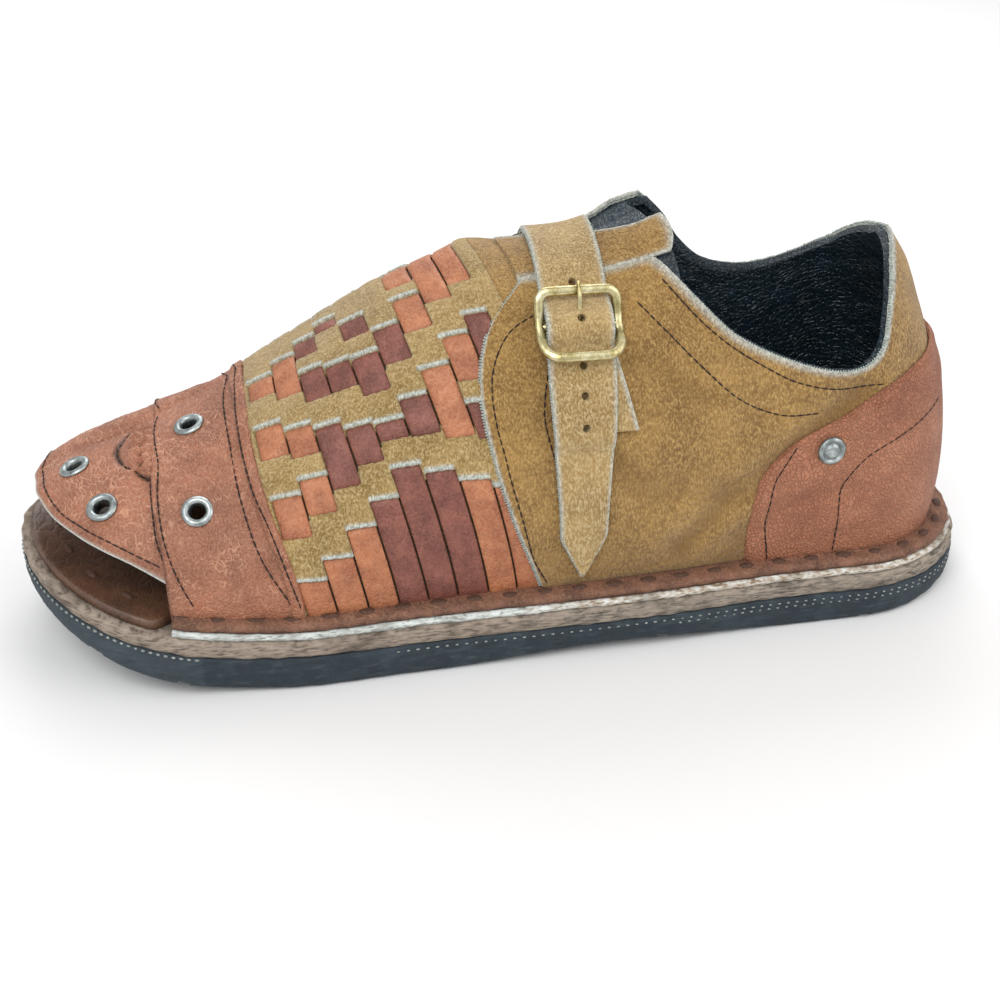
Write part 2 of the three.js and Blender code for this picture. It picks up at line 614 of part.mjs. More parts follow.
/** The prong's path: round the middle bar, up through the strap and over the top bar. */
function prongLine() {
  const radius = BUCKLE.barRadius + GAP + BUCKLE.prong;
  const path = [];
  for (const degrees of [60, 0, -60, -120, -180, -225]) {
    const angle = THREE.MathUtils.degToRad(degrees);
    path.push(new THREE.Vector3(0, radius * Math.sin(angle), BUCKLE.barZ - radius * Math.cos(angle)));
  }
  const top = BUCKLE.height / 2;
  const overBar = BUCKLE.topZ + BUCKLE.thick / 2 + GAP + BUCKLE.prong;
  const { share, dip, tip } = PRONG;
  const climb = [[top * share.rise, overBar - dip], [top * share.level, overBar], [top + tip, overBar]];
  path.push(...climb.map(([y, z]) => new THREE.Vector3(0, y, z)));
  return path;
}

/** The folded tab that holds the buckle's middle bar and is sewn down on the quarter. */
function buckleTab() {
  const eye = BUCKLE.barRadius + GAP + TAB.leather;
  const rows = [0, -0.25, -0.5, -0.75, -1].map((share) => {
    const y = share * TAB.length;
    const floor = surfaceUnder(y) + GAP;
    return { y, floor, shift: -share * TAB.lean };
  });
  const rings = rows.map(({ y, floor, shift }) => [
    [shift - TAB.width / 2, floor], [shift + TAB.width / 2, floor],
    [shift + TAB.width / 2, floor + 2 * TAB.leather], [shift - TAB.width / 2, floor + 2 * TAB.leather],
  ].map(([x, z]) => new THREE.Vector3(x, y, z)));
  const flat = solid(skin(rings).applyMatrix4(buckleSeat));
  const rod = (radius, half) => wire(
    [-half, 0, half].map((x) => new THREE.Vector3(x, 0, BUCKLE.barZ)), radius,
  );
  const slot = solid(new THREE.BoxGeometry(...TAB.slot).applyMatrix4(buckleSeat));
  const open = rod(BUCKLE.barRadius + GAP, TAB.width).add(slot);
  return piece('buckle_tab', flat.add(rod(eye, TAB.width / 2)).subtract(open), SUEDE, 0.95);
}

/** Height of the quarter's face over the buckle's own plane, `up` millimetres above its middle. */
function surfaceUnder(up) {
  let best = 0;
  let nearest = Infinity;
  for (let rise = 0.05; rise < 1; rise += 0.01) {
    const p = pointAtX(STRAP.x, -1, rise, skinGrow).applyMatrix4(toBuckle);
    if (Math.abs(p.y - up) < nearest) {
      nearest = Math.abs(p.y - up);
      best = p.z;
    }
  }
  return best;
}

// ---- eyelets and rivets -----------------------------------------------------------------------
const eyeletSeats = EYELETS.map(({ x, y }) => seat(x, -1, riseFor(x, -1, 'y', y, 0), 0));
const rivetGrow = 2 * GAP + QUARTER + COUNTER;
const rivetSeats = [-1, 1].map((side) => {
  const rise = riseFor(RIVET.x, side, 'z', RIVET.z, rivetGrow);
  return seat(RIVET.x, side, rise, rivetGrow);
});

const eyelets = () => eyeletSeats.map((place, i) => {
  const { hole, barrel, outer, height, lift, depth } = EYELET;
  const profile = [
    [hole, -depth], [barrel, -depth], [barrel, lift], [outer, lift], [outer - 0.7, lift + height],
    [hole + 0.6, lift + height], [hole, lift + height / 2], [hole, -depth],
  ];
  return piece(`eyelet_${i + 1}`, turned(profile, place), STEEL, 0.4, 0.8);
});

const rivets = () => rivetSeats.map((place, i) => {
  const { radius, height, lift, shank, depth } = RIVET;
  const profile = [
    [0, -depth], [shank, -depth], [shank, lift], [radius, lift], [radius, lift + height * 0.5],
    [radius * 0.75, lift + height], [0, lift + height],
  ];
  return piece(i ? 'rivet_medial' : 'rivet_lateral', turned(profile, place), STEEL, 0.3, 0.9);
});

const object = new THREE.Group();
const prongPath = prongLine();
object.add(
  outsole(), midsole(), insole(), upper(), welt(), ...quarters(), heelCounter(), strap(prongPath),
  buckleFrame(), piece('buckle_prong', wire(prongPath, BUCKLE.prong), BRASS, 0.35, 0.9), buckleTab(),
  ...eyelets(), ...rivets(),
);
const bounds = new THREE.Box3().setFromObject(object);
object.position.y = -(bounds.min.y + bounds.max.y) / 2;
export default object;
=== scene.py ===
"""A left huarache shoe: a woven leather and suede upper, stitched down on a layered leather sole with a
rubber tread, open at the toe and closed by a strap and a brass centre-bar buckle.

Lengths are in millimetres in the shoe's own axes (toe to -X, outer side to -Y, +Z up, floor at z = 0)
until a mesh is made, which puts them in the frame's metres.
"""
import logging
import math
from dataclasses import dataclass, field
from enum import Enum
from typing import Any, Callable, Iterable, Sequence

import bmesh
import bpy
import numpy as np
from mathutils import Matrix, Vector
from mathutils.bvhtree import BVHTree


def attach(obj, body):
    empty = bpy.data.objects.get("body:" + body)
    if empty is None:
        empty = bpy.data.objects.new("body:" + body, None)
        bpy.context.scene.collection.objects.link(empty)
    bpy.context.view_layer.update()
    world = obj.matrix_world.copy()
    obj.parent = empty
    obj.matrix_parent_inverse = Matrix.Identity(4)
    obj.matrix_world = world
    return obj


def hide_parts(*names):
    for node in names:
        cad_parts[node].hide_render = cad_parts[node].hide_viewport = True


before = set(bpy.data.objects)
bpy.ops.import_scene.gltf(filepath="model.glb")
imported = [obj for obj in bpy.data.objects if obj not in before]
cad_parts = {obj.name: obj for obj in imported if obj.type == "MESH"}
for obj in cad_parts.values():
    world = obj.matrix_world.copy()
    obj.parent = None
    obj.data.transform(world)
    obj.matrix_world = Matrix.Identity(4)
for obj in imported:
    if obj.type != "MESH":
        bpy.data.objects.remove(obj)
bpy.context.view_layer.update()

LOG = logging.getLogger("huarache")

MM = 0.001                # metres in a millimetre
MIDDLE_Y = -3.895         # the shoe's own y = 0 in the frame, in mm
Array = np.ndarray


class Slot(Enum):
    """The record's material slots."""

    RUBBER = "rubber"
    SOLE = "sole_leather"
    INSOLE = "insole_leather"
    LEATHER = "upper_leather"
    SUEDE = "suede"
    BRASS = "brass"
    NICKEL = "nickel"


class Side(Enum):
    """The two sides of the foot, as the sign of y."""

    LATERAL = -1
    MEDIAL = 1


# ---- small numeric helpers ----
def clamp(value: Any) -> Any:
    """Hold a number or an array between 0 and 1."""
    return np.clip(value, 0.0, 1.0)


def ease(value: Any) -> Any:
    """Smooth step of a value held between 0 and 1."""
    t = clamp(value)
    return t * t * (3 - 2 * t)


def smooth(knots: Array, values: Array, at: Any) -> Array:
    """Value at `at` of the smooth curve through values given at rising knots.

    Args:
        knots: rising positions.
        values: the value at each knot.
        at: where the curve is read, held to the knots' range.

    Returns:
        The curve's values, in the shape of `at`.
    """
    k, v, x = (np.asarray(a, float) for a in (knots, values, at))
    slope = np.empty_like(v)
    slope[1:-1] = (v[2:] - v[:-2]) / (k[2:] - k[:-2])
    slope[0], slope[-1] = (v[1] - v[0]) / (k[1] - k[0]), (v[-1] - v[-2]) / (k[-1] - k[-2])
    i = np.clip(np.searchsorted(k, x, side="right") - 1, 0, len(k) - 2)
    span = k[i + 1] - k[i]
    t = clamp((x - k[i]) / span)
    return ((2 * t**3 - 3 * t**2 + 1) * v[i] + (t**3 - 2 * t**2 + t) * span * slope[i]
            + (3 * t**2 - 2 * t**3) * v[i + 1] + (t**3 - t**2) * span * slope[i + 1])


def through(points: Sequence[Sequence[float]], count: int) -> Array:
    """Evenly spaced points on the smooth curve through a few points.

    Args:
        points: the few points, of any dimension.
        count: how many points are returned.

    Returns:
        An array of `count` points, the given ends among them.
    """
    given = np.asarray(points, float)
    gaps = np.linalg.norm(np.diff(given, axis=0), axis=1)
    at = np.concatenate([[0], np.cumsum(gaps)])
    fine = np.linspace(0, at[-1], 40 * len(given))
    curve = np.stack([smooth(at, given[:, j], fine) for j in range(given.shape[1])], -1)
    run = np.concatenate([[0], np.cumsum(np.linalg.norm(np.diff(curve, axis=0), axis=1))])
    even = np.linspace(0, run[-1], count)
    return np.stack([np.interp(even, run, curve[:, j]) for j in range(given.shape[1])], -1)


def wander(at: Array, seed: int, size: float) -> Array:
    """A smooth, seeded unevenness from -1 to 1 along one or more coordinates.

    Args:
        at: positions in mm, one column per coordinate.
        seed: which of the patterns is drawn.
        size: length of its longest waves in mm.

    Returns:
        One number for each position.
    """
    draw = np.random.default_rng(seed)
    points = np.asarray(at, float)
    if points.ndim == 1:
        points = points[:, None]
    total = np.zeros(points.shape[:-1])
    for k in range(7):
        wave = draw.normal(size=points.shape[-1]) * 2 * math.pi / (size * draw.uniform(0.35, 1.1))
        total += np.sin(points @ wave + draw.uniform(0, 2 * math.pi))
    return total / 7 * 1.6


# ---- the sole's outline and the last ----
@dataclass(frozen=True)
class Outline:
    """The sole seen from above, and the height that toe spring adds to each of its layers."""

    length: float = 300.0
    toe_x: float = -95.0         # the round toe starts here
    toe_y: float = 10.0          # its tip's y
    heel_x: float = 105.0        # the round heel starts here
    spring_x: float = -62.0      # the sole rises ahead of this
    spring_lift: float = 17.0
    widths: tuple = (            # x, lateral half, medial half
        (-95, 45.5, 52), (-65, 46.5, 54.5), (-30, 45, 50.5), (5, 44.5, 42.5),
        (40, 43.5, 36.5), (75, 41, 37.5), (105, 40.5, 40.5),
    )

    def spring(self, x: Array) -> Array:
        """Height that toe spring adds at x."""
        return self.spring_lift * clamp((self.spring_x - x) / (self.length / 2 + self.spring_x)) ** 2

    def tread(self, x: Array) -> Array:
        """Underside of the rubber: flat under ball and heel, off the floor at toe, arch and heel edge."""
        half = self.length / 2
        bevel = 4.0 * clamp((-100.0 - x) / (half - 100.0)) ** 2
        heel = 3.0 * clamp((x - 106.0) / (half - 106.0)) ** 2
        return self.spring(x) + bevel + heel + 3.0 * np.sin(np.pi * clamp((x + 35.0) / 119.0)) ** 2

    def round_end(self, x: Array, inset: Array) -> Array:
        """Share of the full width left at x by the round toe or heel."""
        centre = np.where(x < 0, -self.toe_x, self.heel_x)
        past = (np.abs(x) - centre) / (self.length / 2 - centre - inset)
        return np.where(past <= 0, 1.0, np.sqrt(np.maximum(0.0, 1 - past * past)))

    def edge(self, x: Array, side: Array, inset: Array) -> Array:
        """y of the sole's edge at x, set in by `inset`; side is -1 lateral and 1 medial."""
        x, side, inset = np.broadcast_arrays(*(np.asarray(a, float) for a in (x, side, inset)))
        table = np.array(self.widths, float)
        half = np.where(side < 0, smooth(table[:, 0], table[:, 1], x), smooth(table[:, 0], table[:, 2], x))
        left = self.round_end(x, inset)
        tip = np.where(x < 0, self.toe_y * (1 - left), 0.0)
        return tip + side * (half - inset) * left

    def feather(self, x: Array) -> Array:
        """Inset of the wall's foot at x."""
        return 10.0 + 2.5 * clamp((x + 40) / 80)

    def loop(self, station: Array, inset: Array) -> Array:
        """Points of the outline at shares of its way round: toe tip 0, lateral side, heel tip 1, medial side, 2.

        Args:
            station: shares from 0 to 2.
            inset: how far the points are set in, one number or one for each.

        Returns:
            An array of x and y.
        """
        station, inset = np.broadcast_arrays(np.asarray(station, float), np.asarray(inset, float))
        s = np.where(station <= 1, station, 2 - station)
        half, ends = self.length / 2, 0.2
        toe = self.toe_x - (half + self.toe_x - inset) * np.cos(clamp(s / ends) * np.pi / 2)
        heel = self.heel_x + (half - self.heel_x - inset) * np.sin(clamp((s - 1 + ends) / ends) * np.pi / 2)
        middle = self.toe_x + (self.heel_x - self.toe_x) * (s - ends) / (1 - 2 * ends)
        x = np.where(s < ends, toe, np.where(s > 1 - ends, heel, middle))
        return np.stack([x, self.edge(x, np.where(station <= 1, -1.0, 1.0), inset)], -1)

    def station_at(self, x: float, side: Side) -> float:
        """The share of the way round at which the plain outline passes x on one side."""
        shares = np.linspace(0, 1, 2001)
        share = float(np.interp(x, self.loop(shares, 0.0)[:, 0], shares))
        return share if side is Side.LATERAL else 2 - share


OUTLINE = Outline()
FLANGE_Z = 16.2


@dataclass(frozen=True)
class Last:
    """The form the upper is drawn over. `along` runs 0 to 1 from toe to heel, and `turn` 0 to 2 from the
    foot of the lateral wall over the ridge, 1, to the foot of the medial wall."""

    ends: float = 0.2            # share of `along` given to the round toe, and as much to the heel
    toe_square: float = 2.3
    belly: float = 0.07
    heel_inset: float = 15.5
    ridge: tuple = (             # along, x, y, z, fullness of the section
        (0.00, -121, 18, 53.0, 2.10), (0.20, -88, 24, 66.0, 2.10), (0.29, -64, 22, 81.5, 2.20),
        (0.38, -38, 18, 98.5, 2.25), (0.47, -12, 13, 111.0, 2.30), (0.575, 16, 11, 113.0, 2.30),
        (0.665, 42, 12, 122.0, 2.30), (0.74, 66, 6, 128.0, 2.30), (0.80, 78, 2, 131.0, 2.20),
        (1.00, 86, 0, 131.0, 2.05),
    )

    def point(self, along: Any, turn: Any, grow: Any = 0.0) -> Array:
        """Points on the last grown outwards by `grow`.

        Args:
            along: shares of the way from toe to heel.
            turn: shares of the way over the foot, 0 to 2.
            grow: distance outside the plain last.

        Returns:
            An array with x, y and z last.
        """
        a, t, g = np.broadcast_arrays(*(np.asarray(v, float) for v in (along, turn, grow)))
        a, t = clamp(a), np.clip(t, 0.0, 2.0)
        side = np.where(t <= 1, -1.0, 1.0)
        rise = np.where(t <= 1, t, 2 - t)
        table = np.array(self.ridge, float)
        rx, ry, rz, full = (smooth(table[:, 0], table[:, j], a) for j in (1, 2, 3, 4))
        past = (a - self.ends) / (1 - 2 * self.ends)
        turn_toe, power = clamp(a / self.ends) * np.pi / 2, 2 / self.toe_square
        toe_x = OUTLINE.toe_x - 55.0 * np.maximum(0, np.cos(turn_toe)) ** power
        wide = OUTLINE.edge(OUTLINE.toe_x, side, OUTLINE.feather(OUTLINE.toe_x))
        toe_y = OUTLINE.toe_y + (wide - OUTLINE.toe_y) * np.maximum(0, np.sin(turn_toe)) ** power
        turn_heel = clamp((1 - a) / self.ends) * np.pi / 2
        heel_x = OUTLINE.heel_x + (45.0 - self.heel_inset) * np.cos(turn_heel)
        heel_y = OUTLINE.edge(OUTLINE.heel_x, side, OUTLINE.feather(OUTLINE.heel_x)) * np.sin(turn_heel)
        mid_x = OUTLINE.toe_x + (OUTLINE.heel_x - OUTLINE.toe_x) * past
        mid_y = OUTLINE.edge(mid_x, side, OUTLINE.feather(mid_x))
        foot_x = np.where(a < self.ends, toe_x, np.where(past > 1, heel_x, mid_x))
        foot_y = np.where(a < self.ends, toe_y, np.where(past > 1, heel_y, mid_y))
        out_x, out_y = foot_x - rx, foot_y - ry
        reach = np.hypot(out_x, out_y)
        angle = rise * np.pi / 2
        across = np.maximum(0, np.cos(angle)) ** (2 / full)
        up = np.maximum(0, np.sin(angle)) ** (2 / full)
        far = (reach + g) * across * (1 + self.belly * np.sin(np.pi * up**0.6)) / reach
        foot_z = FLANGE_Z + OUTLINE.spring(foot_x)
        return np.stack([rx + out_x * far, ry + out_y * far, foot_z + (rz + g - foot_z) * up], -1)

    def _halve(self, test: Callable[[Array], Array], count: int, low: float, high: float) -> Array:
        """Halve an interval until `test` changes, for each of `count` values at once."""
        lo, hi = np.full(count, low), np.full(count, high)
        for _ in range(24):
            middle = (lo + hi) / 2
            below = test(middle)
            lo, hi = np.where(below, middle, lo), np.where(below, hi, middle)
        return (lo + hi) / 2

    def along_at(self, x: Any, turn: Any, grow: float = 0.0) -> Array:
        """`along` of the points with the given x and turn."""
        x, turn = np.broadcast_arrays(np.atleast_1d(x).astype(float), np.atleast_1d(turn).astype(float))
        return self._halve(lambda a: self.point(a, turn, grow)[..., 0] < x, len(x), 0.0, 1.0)

    def seen(self, xz: Array, side: Side, grow: float = 0.0) -> Array:
        """`along` and `turn` of points given as seen from one side.

        Args:
            xz: x and z of each point.
            side: which wall is meant.
            grow: distance of the surface outside the plain last.

        Returns:
            An array with along and turn for each point.
        """
        xz = np.atleast_2d(np.asarray(xz, float))

        def full_turn(rise: Array) -> Array:
            return rise if side is Side.LATERAL else 2 - rise

        def low(rise: Array) -> Array:
            turn = full_turn(rise)
            return self.point(self.along_at(xz[:, 0], turn, grow), turn, grow)[..., 2] < xz[:, 1]

        turn = full_turn(self._halve(low, len(xz), 0.0, 1.0))
        return np.stack([self.along_at(xz[:, 0], turn, grow), turn], -1)

    def lying(self, place: Array, grow: Any = 0.0) -> tuple[Array, Array]:
        """Points and outward unit normals at places given as along and turn.

        Args:
            place: along and turn of each point.
            grow: distance outside the plain last.

        Returns:
            The points and their normals.
        """
        a, t, step = place[..., 0], place[..., 1], 0.004
        here = self.point(a, t, grow)
        run = self.point(a + step, t, grow) - self.point(a - step, t, grow)
        climb = self.point(a, np.minimum(t + step, 1.999), grow) - self.point(a, t - step, grow)
        out = np.cross(run, climb)
        out /= np.maximum(np.linalg.norm(out, axis=-1, keepdims=True), 1e-9)
        return here, out


LAST = Last()


def coons(bottom: Array, top: Array, front: Array, back: Array) -> Array:
    """A grid filled in between four boundary lines that meet at their ends.

    Args:
        bottom: n points from front to back.
        top: n points from front to back.
        front: m points from bottom to top.
        back: m points from bottom to top.

    Returns:
        An n by m grid of points.
    """
    u = np.linspace(0, 1, len(bottom))[:, None, None]
    v = np.linspace(0, 1, len(front))[None, :, None]
    ruled = (1 - v) * bottom[:, None] + v * top[:, None] + (1 - u) * front[None] + u * back[None]
    corners = ((1 - u) * (1 - v) * bottom[0] + u * (1 - v) * bottom[-1]
               + (1 - u) * v * top[0] + u * v * top[-1])
    return ruled - corners


# ---- nodes and finishes ----
Tree, Socket, Material = bpy.types.NodeTree, bpy.types.NodeSocket, bpy.types.Material
Colour = str | Socket            # an sRGB hex colour such as '#a57c3e', or the output that gives one


def linear(code: str) -> tuple[float, float, float, float]:
    """Linear RGBA of an sRGB hex colour."""
    parts = [int(code[i:i + 2], 16) / 255 for i in (1, 3, 5)]
    return (*(p / 12.92 if p <= 0.04045 else ((p + 0.055) / 1.055) ** 2.4 for p in parts), 1.0)


def add(tree: Tree, kind: str, inputs: dict | None = None, **settings: Any) -> bpy.types.Node:
    """Add a node to a tree with its settings, its values and its links.

    Args:
        tree: the node tree.
        kind: the node's type name.
        inputs: values, hex colours or output sockets by the input's name or number.
        settings: the node's own properties.

    Returns:
        The new node.
    """
    made = tree.nodes.new(kind)
    for key, value in settings.items():
        setattr(made, key, value)
    for key, value in (inputs or {}).items():
        if isinstance(value, Socket):
            tree.links.new(value, made.inputs[key])
        else:
            is_colour = isinstance(value, str) and value.startswith("#")
            made.inputs[key].default_value = linear(value) if is_colour else value
    return made


class Paint:
    """A material in the making: its surface and the colour laid on so far."""

    def __init__(self, name: str, values: dict[str, float]) -> None:
        """Start a material; `values` go on its principled surface's own sockets."""
        self.material = bpy.data.materials.new(name)
        self.material.use_nodes = True
        self.tree = self.material.node_tree
        self.tree.nodes.clear()
        self.shader = add(self.tree, "ShaderNodeBsdfPrincipled", {"IOR": 1.5, **values})
        add(self.tree, "ShaderNodeOutputMaterial", {"Surface": self.shader.outputs[0]})
        self.at = add(self.tree, "ShaderNodeTexCoord").outputs["Object"]
        self.colour: Any = None

    def pattern(self, size: float, detail: float = 3.0, stretch: tuple[float, float, float] = (1, 1, 1),
                turn: float = 0.0) -> Socket:
        """An uneven pattern on the object's own coordinates.

        Args:
            size: of its features, in mm.
            detail: how many finer layers it has.
            stretch: how much longer its features are along each axis.
            turn: its turn about Z, in radians.

        Returns:
            Its value, about 0.2 to 0.8.
        """
        scale = tuple(1 / (size * MM * s) for s in stretch)
        placed = add(self.tree, "ShaderNodeMapping", {"Vector": self.at, "Scale": scale, "Rotation": (0, 0, turn)})
        return add(self.tree, "ShaderNodeTexNoise", {"Vector": placed.outputs[0], "Scale": 1.0, "Detail": detail,
                                                     "Roughness": 0.6}).outputs["Fac"]

    def tones(self, where: Socket | str, low: float, high: float, first: Colour, second: Colour,
              least: float = 0.0, most: float = 1.0) -> Socket:
        """Two colours shared out over a pattern or one of the piece's own marks.

        Args:
            where: the pattern, or the mark's name.
            low: its value where `second` has the share `least`.
            high: its value where `second` has the share `most`.
            first: the colour beneath.
            second: the colour laid over it.
            least: a share from 0 to 1.
            most: a share from 0 to 1.

        Returns:
            The mixed colour.
        """
        if isinstance(where, str):
            where = add(self.tree, "ShaderNodeAttribute", attribute_name=where).outputs["Fac"]
        share = add(self.tree, "ShaderNodeMapRange", {"Value": where, "From Min": low, "From Max": high,
                                                      "To Min": least, "To Max": most})
        return add(self.tree, "ShaderNodeMix", {0: share.outputs[0], 6: first, 7: second},
                   data_type="RGBA").outputs[2]

    def lay(self, colour: Colour, where: Socket | str, low: float = 0.0, high: float = 1.0,
            least: float = 0.0, most: float = 1.0) -> None:
        """Lay a colour over the present one; the arguments are those of `tones`."""
        self.colour = self.tones(where, low, high, self.colour, colour, least, most)

    def vary(self, socket: str, where: Socket, low: float, high: float, first: float, second: float) -> None:
        """Let one of the surface's values run from `first` to `second` as a pattern runs from low to high."""
        value = add(self.tree, "ShaderNodeMapRange", {"Value": where, "From Min": low, "From Max": high,
                                                      "To Min": first, "To Max": second})
        self.tree.links.new(value.outputs[0], self.shader.inputs[socket])

    def close(self, first: Socket, second: Socket | float, depth: float, strength: float) -> Material:
        """Link the colour and a bump made of two patterns.

        Args:
            first: the bump's first pattern.
            second: the pattern or the number added to it.
            depth: of the bump, in mm.
            strength: of the bump, 0 to 1.

        Returns:
            The finished material.
        """
        relief = add(self.tree, "ShaderNodeMath", {0: first, 1: second}, operation="ADD")
        bump = add(self.tree, "ShaderNodeBump", {"Height": relief.outputs[0], "Distance": depth * MM,
                                                 "Strength": strength})
        self.tree.links.new(self.colour, self.shader.inputs["Base Color"])
        self.tree.links.new(bump.outputs[0], self.shader.inputs["Normal"])
        return self.material


@dataclass(frozen=True)
class Finish:
    """What every finish has: a name, its colours as sRGB hex and its typical roughness."""

    name: str
    base: str
    dark: str
    light: str
    rough: float = 0.7

    def material(self) -> Material:
        """The finish as a material, made once."""
        return bpy.data.materials.get(self.name) or self.build()

    def build(self) -> Material:
        """Make the material; each kind of finish has its own."""
        raise NotImplementedError


@dataclass(frozen=True)
class Hide(Finish):
    """Smooth full-grain leather: fine cells, pale pulled creases, darker handled patches."""

    cell: float = 2.2            # size of the grain's cells, mm
    pull: float = 2.4            # how much longer the cells are across the shoe
    creases: float = 0.5         # how clearly the creases show as pale lines
    depth: float = 0.25          # mm
    patch: float = 22.0          # size of the patches, mm
    coat: float = 0.0

    def build(self) -> Material:
        """Cells from a stretched Voronoi pattern, patches and a waxy, uneven gloss."""
        paint = Paint(self.name, {"Roughness": self.rough, "Coat Weight": self.coat, "Coat Roughness": 0.35})
        tree, size = paint.tree, self.cell * MM
        warp = add(tree, "ShaderNodeTexNoise", {"Vector": paint.at, "Scale": 120.0, "Detail": 2.0})
        bent = add(tree, "ShaderNodeMix", {0: 0.006, 4: paint.at, 5: warp.outputs["Color"]}, data_type="VECTOR")
        placed = add(tree, "ShaderNodeMapping", {
            "Vector": bent.outputs[1], "Rotation": (0.3, 0.2, 0.5),
            "Scale": (1 / size, 1 / (size * self.pull), 1 / (size * 1.3))})
        cells = add(tree, "ShaderNodeTexVoronoi", {"Vector": placed.outputs[0], "Scale": 1.0, "Randomness": 1.0},
                    feature="DISTANCE_TO_EDGE").outputs["Distance"]
        patches, pores, places = paint.pattern(self.patch, 4.0), paint.pattern(0.7, 2.0), paint.pattern(14.0, 2.0)
        paint.colour = paint.tones(patches, 0.36, 0.66, self.dark, self.base)
        lines = add(tree, "ShaderNodeMapRange", {"Value": cells, "From Min": 0.0, "From Max": 0.09,
                                                 "To Min": self.creases, "To Max": 0.0})
        shown = add(tree, "ShaderNodeMapRange", {"Value": places, "From Min": 0.4, "From Max": 0.6, "To Min": 0.25})
        both = add(tree, "ShaderNodeMath", {0: lines.outputs[0], 1: shown.outputs[0]}, operation="MULTIPLY")
        paint.lay(self.light, both.outputs[0])
        paint.lay(self.light, pores, 0.3, 0.75, 0.0, 0.35)
        paint.lay("#c3cbc4", "raw")
        # painted shade, where a piece marks it
        paint.lay("#000000", "shade", most=0.82)
        paint.vary("Roughness", patches, 0.3, 0.7, self.rough + 0.12, self.rough - 0.08)
        walls = add(tree, "ShaderNodeMapRange", {"Value": cells, "From Max": 0.16})
        return paint.close(walls.outputs[0], pores, self.depth, 0.8)


@dataclass(frozen=True)
class Nap(Finish):
    """Brushed split leather: a mottled nap with lifted fibres, and pale, furry cut edges."""

    fibre: float = 0.55          # mm; the real ones are finer, drawn coarse enough to show
    depth: float = 0.7           # mm

    def build(self) -> Material:
        """Mottling, fibres in two lengths, and marks for raw lips, for painted crease shade with darkening towards the
        bottom, and for painted shade.
        """
        paint = Paint(self.name, {"Roughness": self.rough, "Sheen Weight": 0.25, "Sheen Roughness": 0.6,
                                  "Specular IOR Level": 0.2})
        cloud = paint.pattern(16.0, 4.0)
        fibres = paint.pattern(self.fibre, 3.0, (1.0, 1.0, 2.2), 0.5)
        specks = paint.pattern(self.fibre * 2.4, 2.0, (1.8, 1.0, 1.0))
        paint.colour = paint.tones(cloud, 0.34, 0.68, self.dark, self.base)
        paint.lay(self.light, fibres, 0.42, 0.68, 0.0, 0.72)
        paint.lay(self.dark, specks, 0.30, 0.50, 0.55, 0.0)
        # painted shade in the quarters' creases, and the suede darker towards the bottom of the wall
        paint.lay(self.dark, "stain")
        paint.lay(paint.tones(fibres, 0.35, 0.65, "#949d96", "#dae2de"), "raw")
        # painted shade, where a piece marks it
        paint.lay("#0d0a08", "shade")
        return paint.close(fibres, specks, self.depth, 0.9)


@dataclass(frozen=True)
class CutEdge(Finish):
    """The cut side of leather or board: layered fibres that run with the sheet."""

    layer: float = 0.5           # thickness of one layer of fibres, mm
    depth: float = 0.35
    rear: str = ""               # colour of its rear half, if that differs
    change: tuple = (20.0, 40.0)     # x from which and to which the colour changes, mm

    def build(self) -> Material:
        """Long fibres, flat in Z, over blotches of grime."""
        paint = Paint(self.name, {"Roughness": self.rough, "Specular IOR Level": 0.25})
        fibres = paint.pattern(self.layer, 3.0, (5.0, 5.0, 1.0))
        blotch = paint.pattern(7.0, 4.0, (1.6, 1.6, 1.0))
        base: Colour = self.base
        if self.rear:
            x = add(paint.tree, "ShaderNodeSeparateXYZ", {0: paint.at}).outputs[0]
            ragged = add(paint.tree, "ShaderNodeMath", {0: blotch, 1: 0.06, 2: x}, operation="MULTIPLY_ADD")
            base = paint.tones(ragged.outputs[0], *(edge * MM for edge in self.change), self.base, self.rear)
        paint.colour = paint.tones(fibres, 0.35, 0.7, base, self.light)
        paint.lay(self.dark, fibres, 0.28, 0.48, 0.8, 0.0)
        paint.lay(self.dark, blotch, 0.5, 0.72, 0.0, 0.7)
        # painted shade, where a piece marks it
        paint.lay("#15100d", "shade")
        return paint.close(fibres, 0.0, self.depth, 1.0)


@dataclass(frozen=True)
class Tread(Finish):
    """Moulded tyre rubber, scuffed and dusty towards its edges."""

    toe_x: float = -98.0         # the toe's cap of harder, duller rubber ends here, mm

    def build(self) -> Material:
        """Dust, scuffs along the shoe and a fine moulded grain."""
        paint = Paint(self.name, {"Roughness": self.rough})
        dust, fine = paint.pattern(11.0, 5.0), paint.pattern(0.9, 2.0)
        scuff = paint.pattern(1.4, 4.0, (4.0, 4.0, 1.0))
        x = add(paint.tree, "ShaderNodeSeparateXYZ", {0: paint.at}).outputs[0]
        paint.colour = paint.tones(x, (self.toe_x - 0.6) * MM, (self.toe_x + 0.6) * MM, self.base, "#3f4a50",
                                   0.4, 0.0)
        paint.lay(self.light, dust, 0.45, 0.75, 0.0, 0.55)
        paint.lay(self.light, scuff, 0.52, 0.74, 0.0, 0.5)
        paint.lay(self.dark, scuff, 0.25, 0.42, 0.6, 0.0)
        paint.lay("#cfd2cc", "raw")
        paint.vary("Roughness", dust, 0.35, 0.7, self.rough - 0.15, self.rough + 0.1)
        return paint.close(scuff, fine, 0.4, 0.7)


